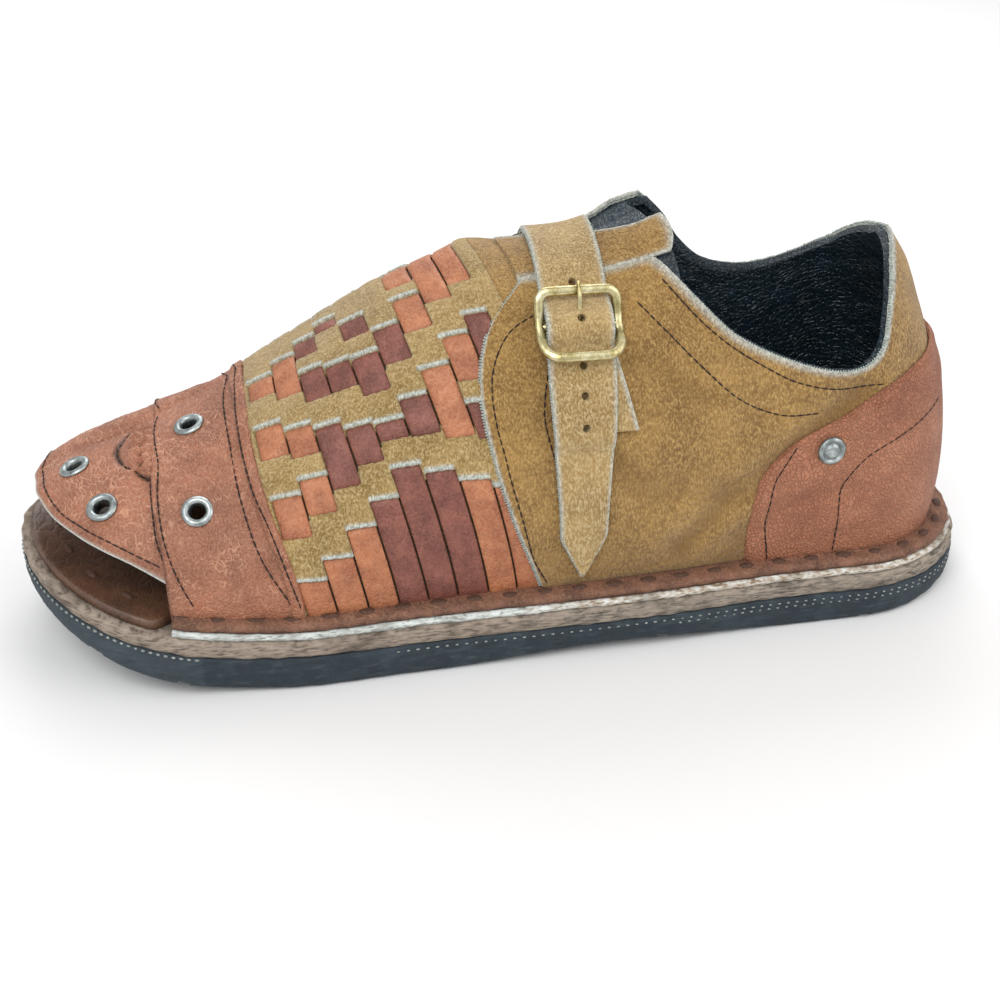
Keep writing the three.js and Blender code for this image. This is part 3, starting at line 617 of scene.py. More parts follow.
@dataclass(frozen=True)
class Plated(Finish):
    """Stamped and tumbled metal: brushed fine scratches and tarnish in its hollows."""

    def build(self) -> Material:
        """Scratches in roughness and bump, tarnish in colour."""
        paint = Paint(self.name, {"Roughness": self.rough, "Metallic": 1.0})
        scratch, tarnish = paint.pattern(0.35, 2.0, (1.0, 6.0, 6.0), 0.7), paint.pattern(3.2, 4.0)
        paint.colour = paint.tones(tarnish, 0.42, 0.7, self.base, self.light)
        paint.lay(self.dark, tarnish, 0.24, 0.44, 0.8, 0.0)
        # painted shade, where a piece marks it
        paint.lay("#050403", "shade")
        paint.vary("Roughness", scratch, 0.3, 0.7, self.rough - 0.1, self.rough + 0.15)
        return paint.close(scratch, 0.0, 0.08, 0.6)


@dataclass(frozen=True)
class Twist(Finish):
    """Waxed thread, thong or loose fibres: twisted strands."""

    def build(self) -> Material:
        """Strands from a fine pattern, dusty on top."""
        paint = Paint(self.name, {"Roughness": self.rough})
        strand = paint.pattern(0.5, 2.0)
        paint.colour = paint.tones(strand, 0.35, 0.65, self.dark, self.base)
        paint.lay(self.light, strand, 0.6, 0.8, 0.0, 0.5)
        return paint.close(strand, 0.0, 0.2, 0.8)


# Vegetable-tanned cowhide, waxed and worn: it shows its creases as pale lines.
TOE_HIDE = Hide("veg_tanned_cowhide", "#995a3e", "#6f3b27", "#d6a384", 0.5, cell=1.15, pull=3.8, creases=0.62,
                depth=0.22, patch=16.0)
# The counter's hide is firmer, with a finer pebble.
COUNTER_HIDE = Hide("pebbled_cowhide", "#ac6d4e", "#8a4e35", "#cd9675", 0.55, cell=1.1, pull=1.2, creases=0.35,
                    depth=0.6, patch=26.0)
ORANGE_STRIP = Hide("orange_cowhide_strip", "#b26c46", "#8a4a2e", "#d39c76", 0.5, cell=1.5, creases=0.35,
                    depth=0.12, patch=7.0)
MAROON_STRIP = Hide("oxblood_cowhide_strip", "#7e4639", "#582b22", "#a9705f", 0.5, cell=1.5, creases=0.35,
                    depth=0.12, patch=7.0)
WELT_HIDE = Hide("waxed_welt_leather", "#7f5340", "#4f3023", "#a37d63", 0.7, cell=1.6, creases=0.4, patch=6.0)
INSOLE_HIDE = Hide("burnished_insole_leather", "#5f4130", "#3a2418", "#86624b", 0.4, cell=3.0, creases=0.04,
                   depth=0.12, patch=11.0, coat=0.15)
LINING_HIDE = Hide("navy_glazed_lining", "#13232d", "#091219", "#2c4653", 0.32, cell=1.3, pull=1.4, creases=0.35,
                   depth=0.45, patch=14.0, coat=0.25)
FLESH_SIDE = Hide("flesh_side_leather", "#4f3a2e", "#2f211a", "#6b5243", 0.8, cell=2.0, creases=0.1)
MUSTARD_SUEDE = Nap("mustard_suede", "#9b763c", "#735223", "#c8a566", 0.95)
# Handled less than the quarters, so paler.
STRAP_SUEDE = Nap("pale_mustard_suede", "#b2935a", "#8c6d39", "#dac598", 0.95)
VAMP_SUEDE = Nap("worn_mustard_suede", "#a88a52", "#7f632f", "#d3bc8c", 0.95)
# Cut edges stay pale because the tan doesn't reach the hide's middle.
RAW_EDGE = CutEdge("raw_cut_edge", "#b9c6c1", "#858b84", "#e2eae6", 0.95)
WELT_EDGE = CutEdge("welt_cut_edge", "#c3cac5", "#6b6459", "#e6ebe8", 0.95, rear="#a58a6c")
MIDSOLE_EDGE = CutEdge("leather_board_midsole", "#82756a", "#4b4139", "#a89a8b", 0.95, layer=0.7, depth=0.6,
                       rear="#7d766d")
TYRE_RUBBER = Tread("tyre_rubber", "#1d2a33", "#0e151a", "#4a565c", 0.8)
CAST_BRASS = Plated("tumbled_brass", "#b8ab78", "#6a613c", "#e4dcb6", 0.3)
NICKEL_PLATE = Plated("nickel_plate", "#8f9696", "#4c5150", "#c3caca", 0.36)
DARK_THREAD = Twist("waxed_dark_thread", "#2a1812", "#140b08", "#4b3226", 0.8)
BROWN_THONG = Twist("rawhide_thong", "#5f4031", "#3c281e", "#7f5e4b", 0.7)
RAW_FIBRE = Twist("raw_suede_fibres", "#b4c0bb", "#838a84", "#dfe7e3", 0.95)
CHALKY_THREAD = Twist("chalky_cotton_thread", "#a4a9a5", "#6f7471", "#c9cdca", 0.95)


# ---- meshes ----
@dataclass
class Form:
    """A mesh in the making: points in mm, faces, the finish number of each face and marks on points."""

    points: Array
    faces: list
    kinds: list
    marks: dict = field(default_factory=dict)

    def join(self, other: "Form") -> "Form":
        """This form and another as one."""
        shift = len(self.points)
        marks = {key: np.concatenate([self.marks.get(key, np.zeros(shift)),
                                      other.marks.get(key, np.zeros(len(other.points)))])
                 for key in {*self.marks, *other.marks}}
        return Form(np.concatenate([self.points, other.points]),
                    self.faces + [[v + shift for v in face] for face in other.faces],
                    self.kinds + other.kinds, marks)


def sheet_faces(rows: int, columns: int, start: int = 0, flip: bool = False, looped: bool = False) -> list:
    """Quads of a grid of points numbered row by row; `looped` joins the last row to the first."""
    faces = []
    for i in range(rows if looped else rows - 1):
        a, b = start + i * columns, start + ((i + 1) % rows) * columns
        for j in range(columns - 1):
            quad = [a + j, b + j, b + j + 1, a + j + 1]
            faces.append(quad[::-1] if flip else quad)
    return faces


def shell(outer: Array, inner: Array, marks: dict | None = None) -> Form:
    """A closed wall between two grids that match point for point.

    Args:
        outer: n by m points whose row and column directions turn outwards.
        inner: the same grid on the wall's inner face.
        marks: n by m values by name, given to both faces.

    Returns:
        The wall's form; its outer face, inner face and rim have the finishes 0, 1 and 2.
    """
    n, m = outer.shape[:2]
    points = np.concatenate([outer.reshape(-1, 3), inner.reshape(-1, 3)])
    first, second = sheet_faces(n, m), sheet_faces(n, m, n * m, True)
    numbers = np.arange(n * m).reshape(n, m)
    border = []
    for run, flip in ((numbers[:, 0], False), (numbers[:, -1], True), (numbers[0], True), (numbers[-1], False)):
        for a, b in zip(run[:-1].tolist(), run[1:].tolist()):
            quad = [a, a + n * m, b + n * m, b]
            border.append(quad[::-1] if flip else quad)
    values = {key: np.concatenate([v.ravel(), v.ravel()]) for key, v in (marks or {}).items()}
    return Form(points, first + second + border, [0] * len(first) + [1] * len(second) + [2] * len(border), values)


def finish_mesh(mesh: bpy.types.Mesh, finishes: Sequence[Finish]) -> None:
    """Give a mesh its materials, in place of any it has."""
    mesh.materials.clear()
    for finish in finishes:
        mesh.materials.append(finish.material())


def make(name: str, form: Form, finishes: Sequence[Finish], slot: Slot, replaces: Sequence[str] = (),
         weld: float = 0.0, soften: float = 0.0) -> bpy.types.Object:
    """Make a piece of the shoe from its form, in the frame's metres.

    Args:
        name: the piece's name.
        form: its points in mm, faces and marks.
        finishes: its finishes, by the faces' numbers.
        slot: the record's material slot; not used.
        replaces: the CAD nodes it stands for.
        weld: points closer than this, in mm, become one.
        soften: radius in mm of a bevel on its sharp edges.

    Returns:
        The piece, riding on the shoe's one body.
    """
    mesh = bpy.data.meshes.new(name)
    placed = (np.asarray(form.points, float) + [0, MIDDLE_Y, 0]) * MM
    mesh.from_pydata(placed.tolist(), [], form.faces)
    mesh.polygons.foreach_set("material_index", np.array(form.kinds, np.int32))
    for key, values in form.marks.items():
        layer = mesh.attributes.new(key, "FLOAT", "POINT")
        layer.data.foreach_set("value", np.asarray(values, np.float32))
    if weld:
        work = bmesh.new()
        work.from_mesh(mesh)
        bmesh.ops.remove_doubles(work, verts=work.verts, dist=weld * MM)
        bmesh.ops.dissolve_degenerate(work, edges=work.edges, dist=weld * MM / 4)
        bmesh.ops.recalc_face_normals(work, faces=work.faces)
        work.to_mesh(mesh)
        work.free()
    mesh.polygons.foreach_set("use_smooth", np.ones(len(mesh.polygons), bool))
    mesh.update()
    return own(name, mesh, finishes, slot, replaces, soften)


def own(name: str, mesh: bpy.types.Mesh, finishes: Sequence[Finish], slot: Slot,
        replaces: Sequence[str] = (), soften: float = 0.0) -> bpy.types.Object:
    """Put a finished mesh in the scene as a piece of the shoe; the arguments are those of `make`."""
    finish_mesh(mesh, finishes)
    piece = bpy.data.objects.new(name, mesh)
    bpy.context.scene.collection.objects.link(piece)
    if soften:
        bevel = piece.modifiers.new("softened_edges", "BEVEL")
        bevel.width, bevel.segments, bevel.limit_method = soften * MM, 2, "ANGLE"
        bevel.angle_limit = math.radians(55)
        bevel.use_clamp_overlap = True
    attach(piece, "root")
    if replaces:
        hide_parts(*replaces)
    LOG.info("%s: %d faces", name, len(mesh.polygons))
    return piece


# ---- stitches ----
@dataclass(frozen=True)
class Seam:
    """How a row of stitches is sewn, in mm."""

    pitch: float
    length: float
    width: float
    height: float
    finish: Finish


def seam_tree() -> bpy.types.GeometryNodeTree:
    """The tree that lays one stitch every pitch along each line of a mesh, made once."""
    name = "stitches_along_lines"
    if name in bpy.data.node_groups:
        return bpy.data.node_groups[name]
    tree = bpy.data.node_groups.new(name, "GeometryNodeTree")
    tree.interface.new_socket("Lines", in_out="INPUT", socket_type="NodeSocketGeometry")
    for size in ("Pitch", "Length", "Width", "Height"):
        tree.interface.new_socket(size, in_out="INPUT", socket_type="NodeSocketFloat")
    tree.interface.new_socket("Finish", in_out="INPUT", socket_type="NodeSocketMaterial")
    tree.interface.new_socket("Stitches", in_out="OUTPUT", socket_type="NodeSocketGeometry")
    given = add(tree, "NodeGroupInput").outputs
    curve = add(tree, "GeometryNodeMeshToCurve", {"Mesh": given["Lines"]})
    spaced = add(tree, "GeometryNodeResampleCurve", {"Curve": curve.outputs[0], "Length": given["Pitch"]},
                 mode="LENGTH")
    bead = add(tree, "GeometryNodeMeshUVSphere", {"Segments": 8, "Rings": 5, "Radius": 0.5})
    soft = add(tree, "GeometryNodeSetShadeSmooth", {0: bead.outputs[0]})
    out = add(tree, "GeometryNodeInputNamedAttribute", {"Name": "out"}, data_type="FLOAT_VECTOR")
    run = add(tree, "GeometryNodeInputTangent")
    first = add(tree, "FunctionNodeAlignRotationToVector", {"Vector": run.outputs[0]}, axis="X")
    second = add(tree, "FunctionNodeAlignRotationToVector",
                 {"Rotation": first.outputs[0], "Vector": out.outputs[0]}, axis="Z", pivot_axis="X")
    size = add(tree, "ShaderNodeCombineXYZ", {0: given["Length"], 1: given["Width"], 2: given["Height"]})
    uneven = add(tree, "FunctionNodeRandomValue", {"Min": (0.82, 0.85, 0.85), "Max": (1.12, 1.15, 1.1), "Seed": 7},
                 data_type="FLOAT_VECTOR")
    scale = add(tree, "ShaderNodeVectorMath", {0: size.outputs[0], 1: uneven.outputs[0]}, operation="MULTIPLY")
    placed = add(tree, "GeometryNodeInstanceOnPoints", {
        "Points": spaced.outputs[0], "Instance": soft.outputs[0], "Rotation": second.outputs[0],
        "Scale": scale.outputs[0]})
    real = add(tree, "GeometryNodeRealizeInstances", {0: placed.outputs[0]})
    dressed = add(tree, "GeometryNodeSetMaterial", {"Geometry": real.outputs[0], "Material": given["Finish"]})
    add(tree, "NodeGroupOutput", {0: dressed.outputs[0]})
    return tree


Run = tuple[Array, Array]        # points in mm and the outward normals at them


def sew(name: str, runs: Iterable[Run], seam: Seam, slot: Slot) -> bpy.types.Object:
    """Sew rows of stitches.

    Args:
        name: the piece's name.
        runs: the lines, each as points and normals.
        seam: how they are sewn.
        slot: the record's material slot; not used.

    Returns:
        The stitches as one piece.
    """
    points, outs, edges = [], [], []
    for line, normals in runs:
        start = len(points)
        points.extend(((np.asarray(line) + [0, MIDDLE_Y, 0]) * MM).tolist())
        outs.extend(np.asarray(normals, float).tolist())
        edges.extend([i, i + 1] for i in range(start, len(points) - 1))
    lines = bpy.data.meshes.new(name + "_lines")
    lines.from_pydata(points, edges, [])
    layer = lines.attributes.new("out", "FLOAT_VECTOR", "POINT")
    layer.data.foreach_set("vector", np.array(outs, np.float32).ravel())
    carrier = bpy.data.objects.new(name + "_lines", lines)
    bpy.context.scene.collection.objects.link(carrier)
    tree = seam_tree()
    modifier = carrier.modifiers.new("stitches", "NODES")
    modifier.node_group = tree
    values = {"Pitch": seam.pitch * MM, "Length": seam.length * MM, "Width": seam.width * MM,
              "Height": seam.height * MM, "Finish": seam.finish.material()}
    for item in tree.interface.items_tree:
        if item.item_type == "SOCKET" and item.in_out == "INPUT" and item.name in values:
            modifier[item.identifier] = values[item.name]
    graph = bpy.context.evaluated_depsgraph_get()
    mesh = bpy.data.meshes.new_from_object(carrier.evaluated_get(graph), depsgraph=graph)
    carrier.modifiers.remove(modifier)
    bpy.data.objects.remove(carrier)
    mesh.name = name
    for spare in [a.name for a in mesh.attributes if a.name == "out"]:
        mesh.attributes.remove(mesh.attributes[spare])
    return own(name, mesh, [seam.finish], slot)


# ---- creases ----
@dataclass(frozen=True)
class Crease:
    """A soft trough with a low ridge on each side, along a line seen from the shoe's side."""

    line: tuple
    width: float
    depth: float

    def relief(self, x: Array, z: Array) -> Array:
        """How far the surface stands out of its plain shape at x and z, in mm."""
        path = through(self.line, 24)
        gap = np.sqrt(np.min((x[..., None] - path[:, 0]) ** 2 + (z[..., None] - path[:, 1]) ** 2, axis=-1))
        g = gap / self.width
        return self.depth * (0.45 * np.exp(-((g - 1.7) ** 2)) - np.exp(-g * g))


WALL_CREASES = (                 # where the quarters fold as the foot bends and the heel settles
    Crease(((46, 30), (58, 42), (74, 53), (90, 66), (100, 74)), 5.5, 1.15),
    Crease(((60, 24), (70, 34), (84, 40), (98, 42)), 5.0, 0.8),
    Crease(((24, 60), (34, 52), (46, 48), (56, 50)), 6.0, 0.7),
    Crease(((30, 88), (40, 84), (52, 76)), 4.0, 0.5),
    Crease(((118, 100), (126, 92), (130, 80)), 4.0, 0.6),
)


def wall_relief(x: Array, z: Array) -> Array:
    """Relief of the quarters' creases at x and z, in mm."""
    return sum(crease.relief(x, z) for crease in WALL_CREASES)


def on_wall(xz: Sequence[Sequence[float]], side: Side, grow: float, step: float = 1.5,
            creased: bool = True) -> Run:
    """A line on the wall given by a few x and z as seen from the side.

    Args:
        xz: the few points.
        side: which wall.
        grow: height over the plain last.
        step: spacing of the returned points in mm.
        creased: the line follows the quarters' creases.

    Returns:
        Its points and their normals.
    """
    rough = np.asarray(xz, float)
    length = np.linalg.norm(np.diff(rough, axis=0), axis=1).sum()
    line = through(xz, max(3, int(length / step)))
    points, out = LAST.lying(LAST.seen(line, side, grow), grow)
    if creased:
        points = points + out * wall_relief(points[:, 0], points[:, 2])[:, None]
    return points, out


# ---- the sole ----
@dataclass
class Sole:
    """Outsole, midsole, insole and welt: loops of the sole's outline, stacked and rounded."""

    stations: int = 330
    grooves: tuple = (-128, -104, 40, 107)     # x of the cuts across the tread
    groove_half: float = 1.6
    groove_depth: float = 1.8

    def rounds(self) -> Array:
        """Shares of the way round the outline, closer where grooves cross it."""
        plain = np.linspace(0, 2, 2 * self.stations, endpoint=False)
        extra = [OUTLINE.station_at(x + dx, side) for x in self.grooves for side in Side
                 for dx in (-self.groove_half - 0.3, -self.groove_half, self.groove_half, self.groove_half + 0.3)]
        return np.unique(np.round(np.concatenate([plain, extra]), 6))

    def stack(self, levels: Sequence[tuple[float, Callable[[Array], Array]]], rough: float = 0.0,
              seed: int = 1, across: int = 15) -> Form:
        """A slab from its side's levels, each an inset and a height at x, capped below and above.

        Args:
            levels: from the lowest to the highest.
            rough: how far the side wanders in and out, mm.
            seed: which unevenness it has.
            across: points across the caps.

        Returns:
            The slab's form; its halves meet at the tips and are welded there.
        """
        shares = self.rounds()
        half = shares[shares <= 1]
        rings = []
        for k, (inset, height) in enumerate(levels):
            plain = OUTLINE.loop(shares, inset)
            ragged = wander(np.column_stack([plain, np.full(len(plain), 9.0 * k)]), seed, 16.0) * rough
            xy = OUTLINE.loop(shares, inset - ragged)
            rings.append(np.column_stack([xy, height(xy[:, 0])]))
        grid = np.array(rings)
        wall = np.swapaxes(grid, 0, 1)
        n, m = wall.shape[:2]
        form = Form(wall.reshape(-1, 3), sheet_faces(n, m, 0, False, True), [0] * (n * (m - 1)))
        share = np.linspace(0, 1, across)[None, :, None]
        for ring, flip in ((grid[0], True), (grid[-1], False)):
            lateral = ring[: len(half)]
            medial = np.array([ring[(len(shares) - i) % len(shares)] for i in range(len(half))])
            cap = lateral[:, None] * (1 - share) + medial[:, None] * share
            faces = sheet_faces(*cap.shape[:2], 0, flip)
            form = form.join(Form(cap.reshape(-1, 3), faces, [0] * len(faces)))
        return form

    def outsole(self) -> None:
        """The rubber: a flat tread with cuts across it and a side that bulges a little."""
        def grooved(rise: float) -> Callable[[Array], Array]:
            def height(x: Array) -> Array:
                cut = sum((np.abs(x - g) < self.groove_half + 0.15).astype(float) for g in self.grooves)
                return OUTLINE.tread(x) + np.maximum(rise, cut * self.groove_depth)
            return height

        def between(share: float) -> Callable[[Array], Array]:
            return lambda x: OUTLINE.tread(x) * (1 - share) + (11.0 + OUTLINE.spring(x)) * share

        levels = [(2.4, grooved(0.0)), (1.4, grooved(0.25)), (0.7, grooved(0.9)), (0.25, grooved(1.9)),
                  (0.0, between(0.30)), (-0.15, between(0.5)), (0.0, between(0.7)), (0.1, between(0.86)),
                  (0.35, between(0.95)), (0.9, between(0.995))]
        form = self.stack(levels, 0.22, 3)
        make("outsole_tread", form, [TYRE_RUBBER], Slot.RUBBER, ["outsole"], weld=0.02)

    def midsole(self) -> None:
        """The board: a rough, layered cut edge that stands a little proud."""
        def at(z: float) -> Callable[[Array], Array]:
            return lambda x: z + OUTLINE.spring(x) + wander(x, 21, 60.0) * 0.12

        levels = [(1.1, at(11.1)), (0.6, at(11.4)), (0.2, at(12.4)), (0.35, at(13.6)), (0.25, at(14.8)),
                  (0.6, at(15.6)), (1.0, at(15.95))]
        form = self.stack(levels, 0.35, 5)
        make("midsole_board", form, [MIDSOLE_EDGE], Slot.SOLE, ["midsole"], weld=0.02)

    def insole(self) -> None:
        """The footbed: burnished leather with a rounded edge, inside the walls behind the toes."""
        def at(z: float) -> Callable[[Array], Array]:
            return lambda x: z + OUTLINE.spring(x) - 0.5 * np.exp(-((x - 95) / 32) ** 2) * (z > 18.5)

        def set_in(x: Array) -> Array:
            return 3.2 + 9.0 * ease((x + 112) / 8)

        inset = set_in(OUTLINE.loop(self.rounds(), 3.2)[:, 0])
        form = self.stack([(inset + more, at(z)) for more, z in (
            (0.3, 16.25), (0.0, 16.8), (0.0, 18.3), (0.35, 19.0), (0.9, 19.25), (2.2, 19.3))], across=17)
        make("insole_footbed", form, [INSOLE_HIDE], Slot.INSOLE, ["insole"], weld=0.02)

    def strip(self, name: str, profile: Sequence[tuple[float, float]], inner: Callable[[Array], Array],
              finishes: Sequence[Finish], kinds: Sequence[int], slot: Slot, rough: float, seed: int,
              replaces: Sequence[str] = ()) -> None:
        """A strip that runs round the heel from the toe opening's lateral end to its medial one.

        Args:
            name: the piece's name.
            profile: closed section as pairs of a share across, 0 at the outer edge, and a height.
            inner: inset of its inner edge at x.
            finishes: its finishes.
            kinds: the finish number of each side of the section.
            slot: the record's material slot; not used.
            rough: how far its outer edge wanders, mm.
            seed: which unevenness it has.
            replaces: the CAD nodes it stands for.
        """
        ends = [OUTLINE.station_at(-106.0, side) for side in (Side.LATERAL, Side.MEDIAL)]
        shares = np.linspace(ends[0], ends[1], 520)
        base = OUTLINE.loop(shares, 3.0)
        rings = []
        for k, (share, z) in enumerate(profile):
            ragged = wander(np.column_stack([base, np.full(len(base), 5.0 * z)]), seed, 12.0) * rough
            outer = 3.0 - ragged * (1 - share)
            inset = outer + (inner(base[:, 0]) - 3.0) * share
            xy = OUTLINE.loop(shares, inset)
            rings.append(np.column_stack([xy, z + OUTLINE.spring(xy[:, 0])]))
        grid = np.array(rings)
        m, n = grid.shape[:2]
        points = np.swapaxes(grid, 0, 1).reshape(-1, 3)
        faces, numbers = [], []
        for i in range(n - 1):
            for j in range(m):
                k = (j + 1) % m
                faces.append([i * m + j, i * m + k, (i + 1) * m + k, (i + 1) * m + j])
                numbers.append(kinds[j])
        for i, flip in ((0, False), (n - 1, True)):
            cap = [i * m + j for j in range(m)]
            faces.append(cap if flip else cap[::-1])
            numbers.append(kinds[0])
        make(name, Form(points, faces, numbers), finishes, slot, replaces, weld=0.01)

    def flange(self) -> None:
        """The upper's own edge, turned out over the midsole: two pale cut layers with a thong between."""
        low = [(0.02, 16.05), (-0.1, 16.2), (-0.13, 17.2), (-0.09, 17.8), (0.1, 18.05), (1.0, 18.1), (1.0, 16.05)]
        self.strip("upper_turned_edge", low, lambda x: OUTLINE.feather(x) + 1.0, [WELT_EDGE], [0] * 7,
                   Slot.LEATHER, 0.35, 31)
        thong = [(0.3, 17.95), (0.07, 18.1), (0.03, 18.3), (0.07, 18.6), (0.3, 18.75), (0.9, 18.7), (0.9, 18.0)]
        self.strip("welt_seam_thong", thong, lambda x: OUTLINE.feather(x), [BROWN_THONG], [0] * 7,
                   Slot.SOLE, 0.3, 37)

    def welt(self) -> None:
        """The strip sewn down over that edge: a waxed top, a pale cut side and thong stitches."""
        profile = [(0.1, 18.5), (0.0, 18.75), (-0.02, 19.8), (0.02, 20.7), (0.12, 21.0), (0.3, 21.3), (0.55, 21.25),
                   (0.8, 21.05), (1.0, 21.1), (1.0, 18.5)]
        kinds = [1, 1, 1, 1, 1, 0, 0, 0, 0, 0]
        self.strip("welt_strip", profile, lambda x: OUTLINE.feather(x) + 0.8 + 2.6 * ease((x - 105) / 30),
                   [WELT_HIDE, WELT_EDGE], kinds, Slot.SOLE, 0.45, 41, ["welt"])

    def outline_run(self, start: float, end: float, inset: float, z: float, tilt: float, step: float = 1.0) -> Run:
        """A line along the sole's edge and its normals, which lean out by `tilt` from 0, up, to 1, level."""
        shares = np.linspace(start, end, max(3, int(abs(end - start) * 330 / step))) % 2
        xy = OUTLINE.loop(shares, inset)
        away = OUTLINE.loop(shares, inset - 0.5) - xy
        away /= np.linalg.norm(away, axis=1, keepdims=True)
        points = np.column_stack([xy, z + OUTLINE.spring(xy[:, 0])])
        out = np.column_stack([away * tilt, np.full(len(xy), 1.0 - tilt)])
        return points, out / np.linalg.norm(out, axis=1, keepdims=True)

    def stitches(self) -> None:
        """Thong stitches on welt and insole, thread dots round the rubber."""
        lateral, medial = (OUTLINE.station_at(-104.0, side) for side in (Side.LATERAL, Side.MEDIAL))
        on_welt = [self.outline_run(lateral, medial, 6.2, 21.2, 0.0)]
        sew("welt_thong_stitches", on_welt, Seam(10.6, 5.2, 3.0, 1.1, BROWN_THONG), Slot.SOLE)
        toes = [self.outline_run(-0.26, 0.13, 11.5, 19.3, 0.0)]
        sew("insole_thong_stitches", toes, Seam(13.0, 5.0, 2.6, 0.9, BROWN_THONG), Slot.INSOLE)
        rear = [self.outline_run(0.36, 1.66, 0.05, 9.5, 1.0)]
        rear.append(self.outline_run(0.62, 1.3, 0.05, 8.0, 1.0))
        sew("rubber_thread_dots", rear, Seam(2.9, 1.1, 0.55, 0.55, CHALKY_THREAD), Slot.RUBBER)
        front = [self.outline_run(0.0, 0.19, 0.0, 10.6, 1.0)]
        sew("toe_thread_dots", front, Seam(2.2, 1.3, 0.8, 0.7, CHALKY_THREAD), Slot.RUBBER)

    def build(self) -> None:
        """All pieces of the sole."""
        self.outsole()
        self.midsole()
        self.insole()
        self.flange()
        self.welt()
        self.stitches()


# ---- the upper ----
LATERAL_RIM = ((20, 128), (30, 116), (40, 112.5), (50, 103.5), (61, 93.5), (76, 86), (91, 81.5), (101, 82),
               (107, 88), (109, 102), (112, 115), (122, 119))
MEDIAL_RIM = ((22, 130), (34, 125), (41, 122.5), (49, 116), (55, 107.5), (64, 100), (78, 97), (92, 99.5),
              (104, 105), (110, 111), (114, 115), (122, 119))
QUARTER_FRONT = ((6, 10), (2, 24), (-6, 46), (-11.5, 66), (-14, 84), (-10, 98), (2, 110), (16, 128))
COUNTER_EDGE = ((69, 10), (68, 36), (71, 50), (80, 60), (96, 68), (112, 78), (135, 86), (150, 88))
RIMS = {Side.LATERAL: LATERAL_RIM, Side.MEDIAL: MEDIAL_RIM}
THROAT = {Side.LATERAL: -7.0, Side.MEDIAL: 13.0}
HEEL_TOP = 115.5          # height of the collar's edge at the back of the heel
QUARTER_FACE, COUNTER_FACE = 2.0, 4.0


@dataclass
class Walls:
    """Places on the last along the lines that bound the overlays."""

    def turn_at(self, along: Array, value: Any, axis: int, side: Side, grow: float) -> Array:
        """`turn` at which the last's ribs reach a y or z."""
        along = np.atleast_1d(np.asarray(along, float))
        value = np.broadcast_to(np.asarray(value, float), along.shape)
        sign = 1.0 if axis == 2 or side is Side.LATERAL else -1.0
        lo, hi = np.zeros(len(along)), np.ones(len(along))
        for _ in range(26):
            rise = (lo + hi) / 2
            turn = rise if side is Side.LATERAL else 2 - rise
            below = (LAST.point(along, turn, grow)[..., axis] - value) * sign < 0
            lo, hi = np.where(below, rise, lo), np.where(below, hi, rise)
        rise = (lo + hi) / 2
        return rise if side is Side.LATERAL else 2 - rise

    def level(self, from_along: float, z: float, side: Side, grow: float, count: int) -> Array:
        """Places at one height from `from_along` back to the heel's middle."""
        along = np.linspace(from_along, 1.0, count)
        return np.column_stack([along, self.turn_at(along, z, 2, side, grow)])

    def even(self, places: Array, grow: float, count: int) -> Array:
        """Places spaced evenly along the line that others mark on the surface."""
        points = LAST.point(places[:, 0], places[:, 1], grow)
        run = np.concatenate([[0], np.cumsum(np.linalg.norm(np.diff(points, axis=0), axis=1))])
        at = np.linspace(0, run[-1], count)
        return np.column_stack([np.interp(at, run, places[:, k]) for k in (0, 1)])

    def rim(self, side: Side, grow: float, start: Array, throat: float, count: int) -> Array:
        """Places from `start` along the throat and the collar's edge to the heel's middle."""
        line = through(RIMS[side], 240)
        line = line[line[:, 0] < 112.5]
        places = LAST.seen(line, side, grow)
        y = LAST.point(places[:, 0], places[:, 1], grow)[:, 1]
        bare = y > throat if side is Side.LATERAL else y < throat
        first = int(np.nonzero(~bare)[0][0])
        places = places[first:]
        places = places[places[:, 0] < 0.975]
        along = np.linspace(start[0], places[0, 0], 40)[1:-1]
        inner = np.column_stack([along, self.turn_at(along, throat, 1, side, grow)])
        heel = np.array([[1.0, self.turn_at(np.array([1.0]), HEEL_TOP, 2, side, grow)[0]]])
        return self.even(np.concatenate([start[None], inner, places, heel]), grow, count)


WALLS = Walls()


def dented(places: Array, grow: float, relief: bool = True, extra: Array | None = None) -> Array:
    """Points over the last with the quarters' creases and any extra height.

    Args:
        places: along and turn of each point.
        grow: height over the plain last.
        relief: the creases are pressed in.
        extra: more height for each point.

    Returns:
        The points in mm.
    """
    points, out = LAST.lying(places, grow)
    lift = flared(points)
    if relief:
        lift = lift + wall_relief(points[..., 0], points[..., 2]) * ease((points[..., 2] - 24) / 10)
    if extra is not None:
        lift = lift + extra
    return points + out * lift[..., None]


def flared(points: Array) -> Array:
    """How far the medial rim stands up beside the tongue, at points of the upper, in mm."""
    x, y, z = (points[..., k] for k in range(3))
    return 4.5 * np.exp(-(((x - 33) / 13) ** 2)) * ease((y - 10.5) / 4) * ease((z - 98) / 16)


def tidy_seam(places: Array) -> Array:
    """Hold places inside the last's own range, so that both halves meet at the heel."""
    held = places.copy()
    held[..., 0] = np.clip(held[..., 0], 0.0, 1.0)
    return held


def border_fray(shape: tuple[int, int], seed: int) -> Array:
    """Small seeded unevenness for a grid's points, as of cut suede."""
    return np.random.default_rng(seed).normal(size=shape)


def fringe(name: str, rims: Iterable[Run], slot: Slot, length: float = 1.5) -> None:
    """Short pale fibres that stand out of raw edges, given as points and the directions out of the edge."""
    runs = [(line, away / np.linalg.norm(away, axis=1, keepdims=True)) for line, away in rims]
    sew(name, runs, Seam(0.85, 0.75, 0.5, length, RAW_FIBRE), slot)


